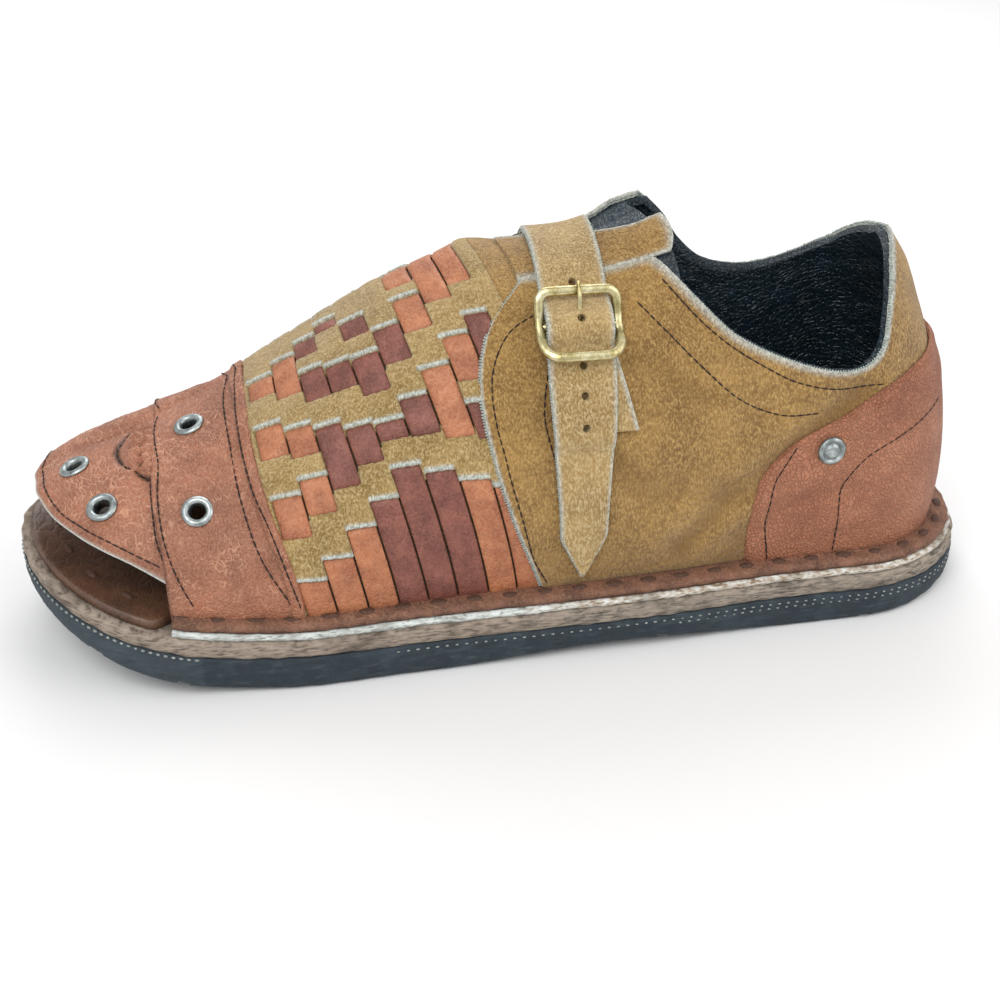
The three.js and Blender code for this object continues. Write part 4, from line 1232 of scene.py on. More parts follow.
@dataclass
class Quarter:
    """One side's suede quarter, from the front edge by the strap to the heel's back seam."""

    side: Side
    columns: int = 190
    rows: int = 80
    foot: float = 21.3

    def places(self, grow: float) -> Array:
        """The quarter's grid of places on the last."""
        line = through(QUARTER_FRONT, 160)
        line = line[line[:, 1] > self.foot]
        places = LAST.seen(line, self.side, grow)
        y = LAST.point(places[:, 0], places[:, 1], grow)[:, 1]
        throat = THROAT[self.side]
        keep = y < throat if self.side is Side.LATERAL else y > throat
        places = places[: int(np.nonzero(~keep)[0][0])] if not keep.all() else places
        front = WALLS.even(places, grow, self.rows)
        bottom = WALLS.even(WALLS.level(front[0, 0], self.foot, self.side, grow, 200), grow, self.columns)
        top = WALLS.rim(self.side, grow, front[-1], throat, self.columns)
        bottom[0] = front[0]
        back = np.column_stack([np.ones(self.rows), np.linspace(bottom[-1, 1], top[-1, 1], self.rows)])
        return tidy_seam(coons(bottom, top, front, back))

    def build(self) -> None:
        """The suede, its pale cut rim and the finish of its inner face."""
        grid = self.places(QUARTER_FACE)
        if self.side is Side.MEDIAL:
            grid = grid[::-1]
        fray = border_fray(grid.shape[:2], 11 + self.side.value)
        edge = np.zeros(grid.shape[:2])
        edge[:, -1], edge[:, -2], edge[:, -3] = 1.0, 0.8, 0.3
        front = 0 if self.side is Side.LATERAL else -1
        edge[front, :] = 1.0
        outer = dented(grid, QUARTER_FACE, extra=fray * 0.16 * edge)
        inner = dented(grid, 0.35, extra=fray * 0.10 * edge)
        surface_relief = wall_relief(outer[..., 0], outer[..., 2])
        # painted shade in the creases' troughs, and the suede darker towards the bottom of the wall
        stain = 0.7 * clamp(-surface_relief / 1.1) + 0.3 * ease((48 - outer[..., 2]) / 30)
        form = shell(outer, inner, marks={"raw": edge * 0.75, "stain": stain})
        name = f"quarter_suede_{self.side.name.lower()}"
        node = "quarter_lateral" if self.side is Side.LATERAL else "quarter_medial"
        make(name, form, [MUSTARD_SUEDE, MUSTARD_SUEDE, RAW_EDGE], Slot.SUEDE, [node], soften=0.35)
        middle, before = (outer + inner) / 2, 3
        rims = ((middle[:, -1], middle[:, -1] - middle[:, -1 - before]),
                (middle[front], middle[front] - middle[before if front == 0 else -1 - before]))
        fringe(f"quarter_fringe_{self.side.name.lower()}", rims, Slot.SUEDE)


@dataclass
class Counter:
    """The leather heel counter, one piece round the back."""

    columns: int = 100
    rows: int = 60
    foot: float = 21.3

    def half(self, side: Side, grow: float) -> Array:
        """One side's grid of places, from its front edge to the heel's middle."""
        line = through(COUNTER_EDGE, 300)
        line = line[(line[:, 1] > self.foot) & (line[:, 0] < 136)]
        places = LAST.seen(line, side, grow)
        places = places[places[:, 0] < 0.97]
        points = LAST.point(places[:, 0], places[:, 1], grow)
        corner = int(np.argmin(np.abs(points[:, 2] - 57)))
        front = WALLS.even(places[: corner + 1], grow, self.rows)
        end = np.array([[1.0, WALLS.turn_at(np.array([1.0]), 85.0, 2, side, grow)[0]]])
        top = WALLS.even(np.concatenate([places[corner:], end]), grow, self.columns)
        bottom = WALLS.even(WALLS.level(front[0, 0], self.foot, side, grow, 200), grow, self.columns)
        bottom[0] = front[0]
        back = np.column_stack([np.ones(self.rows), np.linspace(bottom[-1, 1], top[-1, 1], self.rows)])
        return tidy_seam(coons(bottom, top, front, back))

    def build(self) -> None:
        """The counter with its thin, softened edge."""
        lateral, medial = (self.half(side, COUNTER_FACE) for side in Side)
        grid = np.concatenate([lateral, medial[::-1][1:]])
        n, m = grid.shape[:2]
        edge = np.zeros((n, m))
        edge[:, -3:] = np.array([0.4, 0.8, 1.0])
        edge[:3], edge[-3:] = np.array([1.0, 0.8, 0.4])[:, None], np.array([0.4, 0.8, 1.0])[:, None]
        outer = dented(grid, COUNTER_FACE, extra=-1.1 * edge**2)
        inner = dented(grid, 2.2)
        make("heel_counter_leather", shell(outer, inner), [COUNTER_HIDE, FLESH_SIDE, COUNTER_HIDE], Slot.LEATHER,
             ["heel_counter"], soften=0.3)


@dataclass
class Lining:
    """The glazed lining: the whole inside of the upper, up to the collar's edge."""

    columns: int = 130
    rows: int = 54

    def half(self, side: Side, grow: float) -> Array:
        """One side's grid of places, from ahead of the toe band to the heel's middle."""
        foot, ridge_end = 16.6, 0.65
        start = 0.235
        throat = THROAT[side]
        along = np.linspace(start, ridge_end, 60)
        ridge = np.column_stack([along, np.full(60, 1.0)])
        turn = WALLS.turn_at(np.array([ridge_end]), throat, 1, side, grow)[0]
        edge = WALLS.rim(side, grow, np.array([ridge_end, turn]), throat, 120)
        top = WALLS.even(np.concatenate([ridge, edge]), grow, self.columns)
        bottom = WALLS.even(WALLS.level(start, foot, side, grow, 200), grow, self.columns)
        front = np.column_stack([np.full(self.rows, start), np.linspace(bottom[0, 1], 1.0, self.rows)])
        back = np.column_stack([np.ones(self.rows), np.linspace(bottom[-1, 1], top[-1, 1], self.rows)])
        return tidy_seam(coons(bottom, top, front, back))

    def build(self) -> None:
        """The lining, thin, a touch lower than the quarters' rim and wrinkled at the heel."""
        halves = [self.half(side, 0.0) for side in Side]
        grid = np.concatenate([halves[0], halves[1][::-1][1:]])
        plain = LAST.point(grid[..., 0], grid[..., 1])
        folds = wander(np.stack([plain[..., 0] * 0.5, plain[..., 2] * 1.6], -1), 77, 16.0)
        folds *= ease((plain[..., 0] - 30) / 30) * 0.35
        below = 1.6 * ease((0.58 - grid[..., 0]) / 0.06)     # the weave dips to its own depth there
        outer = dented(grid, 0.2, relief=False, extra=folds * 0.3 - below)
        inner = dented(grid, -2.3, relief=False, extra=folds - below * 0.4)
        make("upper_lining", shell(outer, inner), [LINING_HIDE, LINING_HIDE, RAW_EDGE], Slot.LEATHER, ["upper"],
             soften=0.3)


class Tone(Enum):
    """Colours of the woven strips."""

    ORANGE = "orange"
    MAROON = "maroon"


@dataclass(frozen=True)
class Window:
    """Where a strip lies over the suede: turns at its lower and upper end."""

    low: float
    high: float
    tone: Tone


def windows(*rows: tuple[float, float, str]) -> tuple[Window, ...]:
    """Windows from rows of low, high and tone."""
    return tuple(Window(low, high, Tone(tone)) for low, high, tone in rows)


@dataclass(frozen=True)
class Strand:
    """One strip of the weave: where its middle stands at the sole, how far it leans, and its windows."""

    foot: float
    lean: float
    over: tuple


STRANDS = (
    Strand(0.2995, 0.068, windows((-0.1, 0.145, "orange"), (0.275, 0.405, "orange"), (0.535, 0.655, "orange"),
                                  (0.775, 0.87, "orange"))),
    Strand(0.3260, 0.072, windows((-0.1, 0.19, "orange"), (0.32, 0.43, "orange"), (0.50, 0.60, "orange"),
                                  (0.72, 0.90, "orange"))),
    Strand(0.3535, 0.078, windows((-0.1, 0.25, "orange"), (0.365, 0.56, "maroon"), (0.655, 0.78, "maroon"),
                                  (0.845, 0.935, "maroon"))),
    Strand(0.3805, 0.086, windows((-0.1, 0.30, "maroon"), (0.40, 0.515, "maroon"), (0.64, 0.745, "maroon"),
                                  (0.91, 0.965, "maroon"))),
    Strand(0.4055, 0.088, windows((-0.1, 0.36, "maroon"), (0.435, 0.49, "maroon"), (0.58, 0.72, "maroon"),
                                  (0.80, 0.89, "maroon"))),
    Strand(0.4335, 0.092, windows((-0.1, 0.32, "maroon"), (0.415, 0.525, "maroon"), (0.64, 0.78, "maroon"))),
    Strand(0.4605, 0.096, windows((-0.1, 0.275, "orange"), (0.38, 0.58, "orange"), (0.71, 0.86, "orange"),
                                  (0.92, 1.08, "orange"))),
    Strand(0.4850, 0.092, windows((-0.1, 0.24, "orange"), (0.353, 0.447, "maroon"), (0.506, 0.646, "orange"),
                                  (0.78, 1.22, "orange"))),
    Strand(0.5080, 0.094, windows((-0.1, 0.2, "orange"), (0.543, 0.69, "maroon"), (0.815, 1.185, "orange"))),
    Strand(0.5330, 0.098, ()),
    Strand(0.5560, 0.100, ()),
    Strand(0.5850, 0.102, ()),
    Strand(0.6140, 0.104, ()),
    Strand(0.6430, 0.106, ()),
)


@dataclass
class Weave:
    """The vamp: a suede sheet with slits, and leather strips that run from sole to ridge and back through them."""

    fine: int = 12               # grid steps across a strip
    step: float = 0.0052         # grid step in turn, about half a millimetre
    suede_face: float = 0.95     # heights over the last, mm
    sunk: float = -1.1
    drop: float = 0.006          # how sharply the suede's lips fall, in turn
    half: float = 0.468          # half a strip's width, in strands

    def middle(self, strand: Any, turn: Array) -> Array:
        """`along` of the line through a strand's middle; fractions lie between strands."""
        count = len(STRANDS)
        rise = np.where(turn <= 1, turn, 2 - turn)
        reach = rise - rise**3 / 3
        index = np.arange(count)
        foot = np.interp(strand, index, [s.foot for s in STRANDS])
        lean = np.interp(strand, index, [s.lean for s in STRANDS])
        first = STRANDS[1].foot - STRANDS[0].foot
        foot = np.where(np.asarray(strand) < 0, STRANDS[0].foot + first * np.asarray(strand), foot)
        return foot - lean * reach

    def over(self, index: int) -> list[Window]:
        """A strand's windows on both sides of the ridge; one that crosses the ridge is there once."""
        found = []
        for w in STRANDS[index].over:
            found.append(w)
            if w.high < 1.0:
                found.append(Window(2 - w.high, 2 - w.low, w.tone))
        return found

    def suede(self, first: float, end: float, fine: int, step: float) -> Form:
        """The suede: raised where it covers the strips, sunk in its windows and painted with shade there, pale at
        their lips.

        Args:
            first: the strand at its front edge.
            end: the strand at its rear edge.
            fine: grid steps across a strand.
            step: grid step in turn.

        Returns:
            The sheet's form.
        """
        last = len(STRANDS) - 1
        strand = np.linspace(first, end, int((end - first) * fine) + 1)
        turn = np.linspace(0.0, 2.0, int(2 / step) + 1)
        s, t = np.meshgrid(strand, turn, indexing="ij")
        index = np.clip(np.round(s).astype(int), 0, last)
        across = s - index
        window, raw, puff = np.zeros_like(s), np.zeros_like(s), np.zeros_like(s)
        for k in range(last + 1):
            mine = (index == k) & (np.abs(across) <= 0.5)
            slope = 0.016 * np.where(t <= 1, 1.0, -1.0)
            place = t + slope * across
            spans = sorted(self.over(k), key=lambda w: w.low)
            sides = ease((0.5 - np.abs(across)) / 0.07)
            beside = np.zeros_like(s)
            for step_to in (-1, 1):
                if 0 <= k + step_to <= last:
                    for w in self.over(k + step_to):
                        shared = ease((place - w.low) / self.drop) * ease((w.high - place) / self.drop)
                        beside = np.where(across * step_to > 0, np.maximum(beside, shared), beside)
            sides = np.maximum(sides, beside)
            for w in spans:
                inside = ease((place - w.low) / self.drop) * ease((w.high - place) / self.drop) * sides
                window = np.where(mine, np.maximum(window, inside), window)
                upper = w.high if w.high <= 1.0 or w.low < 1.0 else w.low
                middle = upper + 0.006 * np.sign(1.001 - upper)
                lip = np.exp(-(((place - middle) / 0.0062) ** 2)) * (np.abs(across) < 0.54)
                raw = np.where(mine, np.maximum(raw, lip), raw)
                if w.high > 1.0 > w.low:
                    lip = np.exp(-(((place - (w.high + 0.006)) / 0.0062) ** 2))
                    raw = np.where(mine, np.maximum(raw, lip), raw)
            for before, after in zip(spans, spans[1:]):
                share = clamp((place - before.high) / max(after.low - before.high, 1e-6))
                bulge = np.sin(np.pi * share) * np.cos(np.pi * across) * 0.5
                puff = np.where(mine & (place > before.high) & (place < after.low), np.maximum(puff, bulge), puff)
        places = np.stack([self.middle(s, t), t], -1)
        rough = border_fray(s.shape, 3) * 0.10 * raw
        height = self.suede_face * (1 - window) + self.sunk * window + puff * (1 - window) + rough
        height = height + 0.25 * raw * (1 - window)
        instep = ease((s - 8.6) / 0.8)
        height = height * (1 - instep) + 0.25 * instep
        points, out = LAST.lying(places, 0.0)
        fold = self.instep_folds(points)
        outer = points + out * (height + fold)[..., None]
        inner = points + out * (np.minimum(height, 0.0) - 1.2 + fold)[..., None]
        # painted shade: the sunk windows between and beside the strips are coloured near black
        shade = 0.8 * ease((window - 0.5) / 0.4)
        raw = clamp(raw * 1.1) * (1 - shade) * (1 - instep)
        return shell(outer, inner, marks={"raw": raw, "shade": shade})

    def instep_folds(self, points: Array) -> Array:
        """Folds of the suede ahead of the strap, where the foot bends."""
        ridge_y = 12.0
        across = np.abs(points[..., 1] - ridge_y)
        fade = np.exp(-(across / 30) ** 2)
        x = points[..., 0]
        return fade * (1.5 * np.exp(-((x + 12 - 0.2 * across) / 6.0) ** 2)
                       + 1.1 * np.exp(-((x - 5 - 0.25 * across) / 4.0) ** 2))

    def strip(self, index: int, w: Window) -> Form:
        """One visible length of a strip, arched over its window and tucked under at both ends."""
        tuck = 0.03
        turn = np.arange(w.low - tuck, w.high + tuck, self.step * 1.4)
        turn = turn[(turn > -0.002) & (turn < 2.002)]
        across = np.linspace(-self.half, self.half, 11)
        a, t = np.meshgrid(across, turn, indexing="ij")
        sign = np.where(t <= 1, 1.0, -1.0)
        place = t + 0.016 * sign * a
        foot, head = (place - w.low + 0.7 * tuck) / 0.032, (w.high - place + 0.8 * tuck) / 0.042
        if sign.mean() < 0:
            foot, head = (place - w.low + 0.8 * tuck) / 0.042, (w.high - place + 0.7 * tuck) / 0.032
        ends = head if w.low < 0 else foot if w.high > 2 else np.minimum(foot, head)
        arch = ease(ends)
        round_side = 0.45 * (np.abs(a) / self.half) ** 8
        wobble = 0.10 * wander(np.stack([a * 9, t * 110 + 17.0 * index], -1), 13, 14.0)
        height = -0.75 + 1.55 * arch - round_side + wobble
        places = np.stack([self.middle(index + a, np.clip(t, 0, 2)), np.clip(t, 0, 2)], -1)
        points, out = LAST.lying(places, 0.0)
        fold = self.instep_folds(points)
        outer = points + out * (height + fold)[..., None]
        inner = points + out * (height - 0.8 + fold)[..., None]
        # painted shade where the strip's ends dip under the suede
        shade = clamp(1.0 - arch * 1.5) * 0.9
        return shell(outer, inner, marks={"shade": shade})

    def build(self) -> None:
        """The suede sheet and its strips in two colours."""
        make("vamp_suede", self.suede(-0.62, 9.2, self.fine, self.step), [VAMP_SUEDE, FLESH_SIDE, RAW_EDGE],
             Slot.SUEDE)
        make("instep_suede", self.suede(9.2, len(STRANDS) - 1, 8, 0.012), [MUSTARD_SUEDE, FLESH_SIDE, RAW_EDGE],
             Slot.SUEDE)
        forms: dict[Tone, Form] = {}
        for index in range(len(STRANDS)):
            for w in self.over(index):
                form = self.strip(index, w)
                forms[w.tone] = forms[w.tone].join(form) if w.tone in forms else form
        for tone, hide in ((Tone.ORANGE, ORANGE_STRIP), (Tone.MAROON, MAROON_STRIP)):
            make(f"woven_strips_{tone.value}", forms[tone], [hide, FLESH_SIDE, hide], Slot.LEATHER, soften=0.2)


@dataclass
class Tongue:
    """The instep's suede, which runs on between the quarters to a rounded end under the strap."""

    start: float = 0.50
    end_x: float = 40.5
    lateral_y: float = -6.6
    medial_y: float = 12.4
    narrowing: float = 9.0

    def build(self) -> None:
        """A suede leaf with pale cut edges, lifted a little at its end."""
        n, m = 60, 30
        end = float(LAST.along_at(self.end_x, 1.0)[0])
        u, v = np.meshgrid(np.linspace(0, 1, n), np.linspace(0, 1, m), indexing="ij")
        medial_y = self.medial_y - self.narrowing * ease((u - 0.3) / 0.6)
        y = self.lateral_y + (medial_y - self.lateral_y) * v
        middle_y = (self.lateral_y + self.medial_y) / 2
        corner = (np.abs(y - middle_y) / ((self.medial_y - self.lateral_y) / 2)) ** 3
        along = self.start + (end - 0.012 * corner - self.start) * u
        ridge_y = LAST.point(along, 1.0)[..., 1]
        lateral = WALLS.turn_at(along.ravel(), y.ravel(), 1, Side.LATERAL, 0.0).reshape(n, m)
        medial = WALLS.turn_at(along.ravel(), y.ravel(), 1, Side.MEDIAL, 0.0).reshape(n, m)
        turn = np.where(y < ridge_y, lateral, medial)
        lift = 0.9 * ease((u - 0.75) / 0.25) + 0.5 * np.sin(u * 9) * np.sin(np.pi * v)
        edge = np.maximum.reduce([np.exp(-((1 - u) * 30) ** 2), np.exp(-(v * 14) ** 2), np.exp(-((1 - v) * 14) ** 2)])
        fray = border_fray((n, m), 8) * 0.12 * edge
        points, out = LAST.lying(np.stack([along, turn], -1), 0.0)
        outer = points + out * (1.5 + lift + fray)[..., None]
        inner = points + out * (0.1 + lift)[..., None]
        make("tongue_suede", shell(outer, inner, marks={"raw": edge * 0.8}), [MUSTARD_SUEDE, FLESH_SIDE, RAW_EDGE],
             Slot.SUEDE, soften=0.3)


# ---- the toe ----
class Top:
    """The last from above: points and normals at a given x and y."""

    def __init__(self, along: int = 420, turn: int = 420) -> None:
        """Build a fine skin of the last's front to drop lines on."""
        a, t = np.meshgrid(np.linspace(0.0, 0.5, along), np.linspace(0.02, 1.98, turn), indexing="ij")
        self.skin = BVHTree.FromPolygons(LAST.point(a, t).reshape(-1, 3).tolist(), sheet_faces(along, turn))

    def at(self, x: Array, y: Array) -> Run:
        """Points of the last under x and y, and the normals there."""
        x, y = np.broadcast_arrays(np.asarray(x, float), np.asarray(y, float))
        points, outs = np.zeros(x.shape + (3,)), np.zeros(x.shape + (3,))
        for index in np.ndindex(x.shape):
            place, out, _, _ = self.skin.ray_cast(Vector((x[index], y[index], 300)), Vector((0, 0, -1)))
            if place is None:
                place, out, _, _ = self.skin.find_nearest(Vector((x[index], y[index], 40)))
            points[index], outs[index] = place, out if out.z > 0 else -out
        return points, outs

    def seat(self, x: float, y: float, grow: float = 0.0) -> Matrix:
        """Axes at a place on the top: X heelwards, Z out of the surface."""
        points, outs = self.at(np.array([x]), np.array([y]))
        return axes(points[0] + outs[0] * grow, Vector((1, 0, 0)), outs[0])


def axes(origin: Sequence[float], along: Sequence[float], out: Sequence[float]) -> Matrix:
    """A placing with X near `along` and Z along `out`, in mm."""
    z = Vector(out).normalized()
    y = z.cross(Vector(along)).normalized()
    x = y.cross(z)
    matrix = Matrix((x, y, z)).transposed().to_4x4()
    matrix.translation = Vector(origin)
    return matrix


def wall_seat(x: float, side: Side, z: float, grow: float) -> Matrix:
    """Axes on the upper's skin at x and z: X heelwards, Y up the wall, Z out of it."""
    place = LAST.seen(np.array([[x, z]]), side, grow)
    points, outs = LAST.lying(place, grow)
    return axes(points[0], Vector((1, 0, 0)), outs[0])


def moved(matrix: Matrix, points: Array) -> Array:
    """Points carried by a placing."""
    m = np.array(matrix)
    return np.asarray(points, float) @ m[:3, :3].T + m[:3, 3]


FLAP_EDGE = ((-144.5, 12), (-142.8, 0.6), (-137.6, -12.4), (-130.3, -21.5), (-123.2, -27.4), (-115.3, -32),
             (-107.9, -35.5), (-98, -39))
PUCKER_EDGE = ((-112, 17), (-116, 12), (-118.6, 4.3), (-115.7, -4.2), (-109, -11.2))
PUCKER_RIDGE = ((-110.2, 15.3), (-110.9, 2.9), (-111.3, -7.2))
EYELET_SPOTS = ((-122.5, -16.5), (-131, 3.5), (-95.5, -24), (-96.5, 5))
BAND_FRONT = ((0.0, -105.5), (0.14, -105.8), (0.3, -106.3), (0.5, -108.6), (1.0, -107.5), (1.5, -108.6),
              (1.7, -106.3), (1.86, -105.8), (2.0, -105.5))
BAND_REAR = ((-0.02, 0.283), (0.097, 0.281), (0.224, 0.273), (0.352, 0.262), (0.486, 0.253), (0.631, 0.246),
             (0.8, 0.242), (0.989, 0.236))


def distance(points: Array, line: Array) -> Array:
    """Distance in plan or elevation from points to the nearest point of a line."""
    return np.sqrt(np.min(((points[..., None, :] - line) ** 2).sum(-1), axis=-1))


@dataclass
class Toe:
    """The leather over the toes: a flap open along its sides and the band that joins it to the vamp."""

    thickness: float = 2.3
    ridge_y: float = 12.0
    hole: float = 2.5
    shoulder: float = 1.74       # turn above which lines dropped on the medial side still land cleanly
    top: Top = field(default_factory=Top)

    def outline(self, count: int) -> Array:
        """The flap's rim from the lateral end of its root round the tip to the medial end."""
        lateral = through(FLAP_EDGE, count)[::-1]
        angle = np.linspace(0, 1, count)[1:]
        x = -144.5 + (46.5 * angle**1.6)
        ahead = clamp((-106 - x) / 38.5)
        medial = np.column_stack([x, self.ridge_y + 35.0 * (1 - ahead**1.65) ** (1 / 1.65)])
        return self.held(np.concatenate([lateral, medial]), 0.0)

    def held(self, xy: Array, inside: float) -> Array:
        """Places in plan kept `inside` the line where the last's medial wall turns steep."""
        shoulder = np.full(len(xy), self.shoulder)
        limit = LAST.point(LAST.along_at(xy[:, 0], shoulder), shoulder)[:, 1] - inside
        return np.column_stack([xy[:, 0], np.minimum(xy[:, 1], limit)])

    def pucker(self, x: Array, y: Array) -> Array:
        """Relief of the stitched half-moon ahead of the band: gathered folds inside a sunk seam."""
        at = np.stack([x, y], -1)
        seam, ridge = (distance(at, through(line, 60)) for line in (PUCKER_EDGE, PUCKER_RIDGE))
        inside = ease((x + 119.5) / 3.0) * ease((16.5 - y) / 3) * ease((y + 10) / 3)
        folds = np.sin(y * 1.55 + 0.5 * wander(at, 41, 5.0)) * np.exp(-(ridge / 3.2) ** 2)
        return (-0.9 * np.exp(-(seam / 0.9) ** 2) + 1.2 * inside * np.exp(-((ridge - 1.5) / 3.0) ** 2)
                + 0.9 * folds * inside - 1.1 * inside * np.exp(-(ridge / 0.8) ** 2))

    def lift(self, x: Array, y: Array) -> Array:
        """Unevenness of the worn leather over the toes."""
        at = np.stack([x, y], -1)
        return 0.35 * wander(at, 31, 24.0) + 0.10 * wander(at, 32, 6.0) + self.pucker(x, y)

    def flap(self) -> None:
        """The flap, with raw cut edges."""
        rim = self.outline(92)
        centre = np.array([-97.0, self.ridge_y - 8])
        share = np.concatenate([np.linspace(0.01, 0.9, 66), np.linspace(0.91, 1.0, 9)])
        plan = centre + (rim - centre)[:, None, :] * share[None, :, None]
        points, outs = self.top.at(plan[..., 0], plan[..., 1])
        edge = ease((share - 0.955) / 0.045)[None, :] * np.ones(len(rim))[:, None]
        lift = self.lift(plan[..., 0], plan[..., 1]) - 0.5 * edge**2
        outer = points + outs * lift[..., None]
        inner = points + outs * (-self.thickness + 0.3 * edge + np.minimum(lift, 0))[..., None]
        plain = self.pucker(plan[..., 0], plan[..., 1])
        # painted shade in the pucker's sunk seam and between its folds
        shade = 0.9 * ease((-0.12 - plain) / 0.5)
        raw = ease((share - 0.985) / 0.015)[None, :] * np.ones(len(rim))[:, None]
        form = shell(outer, inner, marks={"shade": shade, "raw": raw})
        piece = make("toe_flap_leather", form, [TOE_HIDE, FLESH_SIDE, RAW_EDGE], Slot.LEATHER,
                     soften=0.25)
        self.punch(piece)

    def band(self) -> None:
        """The band across the vamp's front, its rear edge turned under."""
        turn = np.linspace(0.0, 2.0, 230)
        rise = np.where(turn <= 1, turn, 2 - turn)
        front = LAST.along_at(np.interp(turn, *np.array(BAND_FRONT).T), turn, 0.5)
        rear = smooth(*np.array(BAND_REAR).T, rise)
        share = np.concatenate([[0.0, 0.012, 0.03], np.linspace(0.06, 0.86, 44), np.linspace(0.88, 1.0, 10)])
        along = front[None, :] + (rear - front)[None, :] * share[:, None]
        places = np.stack([along, np.broadcast_to(turn, along.shape)], -1)
        points, outs = LAST.lying(places, 0.0)
        roll = ease((share - 0.87) / 0.04)[:, None] * ease((1.004 - share) / 0.02)[:, None]
        edge = ease((0.03 - share) / 0.03)[:, None]
        surface_relief = 0.30 * wander(points, 33, 22.0) + 0.10 * wander(points, 34, 6.0)
        height = 0.95 + surface_relief * 0.7 + 0.75 * roll - 0.5 * edge - 0.5 * ease((share - 0.985) / 0.015)[:, None]
        # painted shade along the band's front rim and in the crease where its rear edge rolls
        shade = 0.7 * ease((0.02 - share) / 0.02)[:, None] * np.ones_like(along)
        shade += 0.35 * np.exp(-((share - 0.88) / 0.012) ** 2)[:, None]
        outer = points + outs * height[..., None]
        inner = points + outs * np.full_like(height, -self.thickness)[..., None]
        form = shell(outer, inner, marks={"shade": shade})
        piece = make("toe_band_leather", form, [TOE_HIDE, FLESH_SIDE, FLESH_SIDE], Slot.LEATHER,
                     soften=0.25)
        self.punch(piece)

    def punch(self, piece: bpy.types.Object) -> None:
        """Punch the eyelets' holes through a piece."""
        punch(piece, [self.top.seat(x, y) for x, y in EYELET_SPOTS], self.hole, 9.0)

    def run(self, xy: Sequence[Sequence[float]], mirrored: bool = False, grow: float = 0.1) -> Run:
        """A line on the toe from a few x and y."""
        line = through(xy, 40)
        if mirrored:
            line = self.held(line * [1, -1] + [0, 2 * self.ridge_y], 3.2)
        points, outs = self.top.at(line[:, 0], line[:, 1])
        return points + outs * (self.lift(line[:, 0], line[:, 1]) + grow)[:, None], outs

    def build(self) -> None:
        """Flap and band."""
        self.flap()
        self.band()


def punch(piece: bpy.types.Object, places: Sequence[Matrix], radius: float, depth: float) -> None:
    """Cut round holes through a piece.

    Args:
        piece: what is cut.
        places: placings in mm of the holes' middles, Z along each hole.
        radius: of the holes, in mm.
        depth: half the cutters' length, in mm.
    """
    points, faces, sides = [], [], 28
    for place in places:
        start = len(points)
        turn = np.arange(sides) * 2 * math.pi / sides
        for z in (-depth, depth):
            ring = np.column_stack([radius * np.cos(turn), radius * np.sin(turn), np.full(sides, z)])
            points.extend(((moved(place, ring) + [0, MIDDLE_Y, 0]) * MM).tolist())
        faces.extend([start + i, start + (i + 1) % sides, start + sides + (i + 1) % sides, start + sides + i]
                     for i in range(sides))
        faces.append([start + i for i in reversed(range(sides))])
        faces.append([start + sides + i for i in range(sides)])
    mesh = bpy.data.meshes.new("hole_cutters")
    mesh.from_pydata(points, [], faces)
    for material in piece.data.materials:
        mesh.materials.append(material)
    cutter = bpy.data.objects.new("hole_cutters", mesh)
    bpy.context.scene.collection.objects.link(cutter)
    cut = piece.modifiers.new("holes", "BOOLEAN")
    cut.operation, cut.solver, cut.object = "DIFFERENCE", "EXACT", cutter
    graph = bpy.context.evaluated_depsgraph_get()
    made = bpy.data.meshes.new_from_object(piece.evaluated_get(graph), depsgraph=graph)
    made.name = piece.name
    piece.modifiers.clear()
    piece.data = made
    bpy.data.objects.remove(cutter)


# ---- strap, buckle and hardware ----
def tube(path: Array, wide: Any, high: Any, up: Array, looped: bool = False, sides: int = 14,
         squared: float = 2.0) -> Form:
    """A rounded bar along a path.

    Args:
        path: n points.
        wide: half width across `up`, one or n values.
        high: half height along `up`, one or n values.
        up: the bar's upward direction, one or n vectors.
        looped: the end joins the start.
        sides: points round the section.
        squared: 2 for an ellipse; more is squarer.

    Returns:
        The bar's form.
    """
    n = len(path)
    if looped:
        run = np.roll(path, -1, 0) - np.roll(path, 1, 0)
    else:
        run = np.gradient(path, axis=0)
    run /= np.linalg.norm(run, axis=1, keepdims=True)
    up = np.broadcast_to(np.asarray(up, float), (n, 3))
    across = np.cross(run, up)
    across /= np.linalg.norm(across, axis=1, keepdims=True)
    tall = np.cross(across, run)
    wide, high = np.broadcast_to(wide, n), np.broadcast_to(high, n)
    turn = np.arange(sides) * 2 * math.pi / sides
    c = np.sign(np.cos(turn)) * np.abs(np.cos(turn)) ** (2 / squared)
    s = np.sign(np.sin(turn)) * np.abs(np.sin(turn)) ** (2 / squared)
    points = (path[:, None] + across[:, None] * (wide[:, None] * c)[..., None]
              + tall[:, None] * (high[:, None] * s)[..., None])
    faces = []
    for i in range(n if looped else n - 1):
        k = (i + 1) % n
        faces.extend([i * sides + j, k * sides + j, k * sides + (j + 1) % sides, i * sides + (j + 1) % sides]
                     for j in range(sides))
    if not looped:
        faces.append([j for j in range(sides)])
        faces.append([(n - 1) * sides + j for j in reversed(range(sides))])
    return Form(points.reshape(-1, 3), faces, [0] * len(faces))


def turned(profile: Sequence[tuple[float, float]], place: Matrix, sides: int = 56) -> Form:
    """A body of revolution about a placing's Z axis, from radius and height pairs that close on the axis or
    on themselves."""
    turn = np.arange(sides) * 2 * math.pi / sides
    rings = [np.column_stack([r * np.cos(turn), r * np.sin(turn), np.full(sides, z)]) for r, z in profile]
    points = moved(place, np.concatenate(rings))
    faces = []
    for i in range(len(profile) - 1):
        faces.extend([i * sides + j, i * sides + (j + 1) % sides, (i + 1) * sides + (j + 1) % sides,
                      (i + 1) * sides + j] for j in range(sides))
    return Form(points, faces, [0] * len(faces))


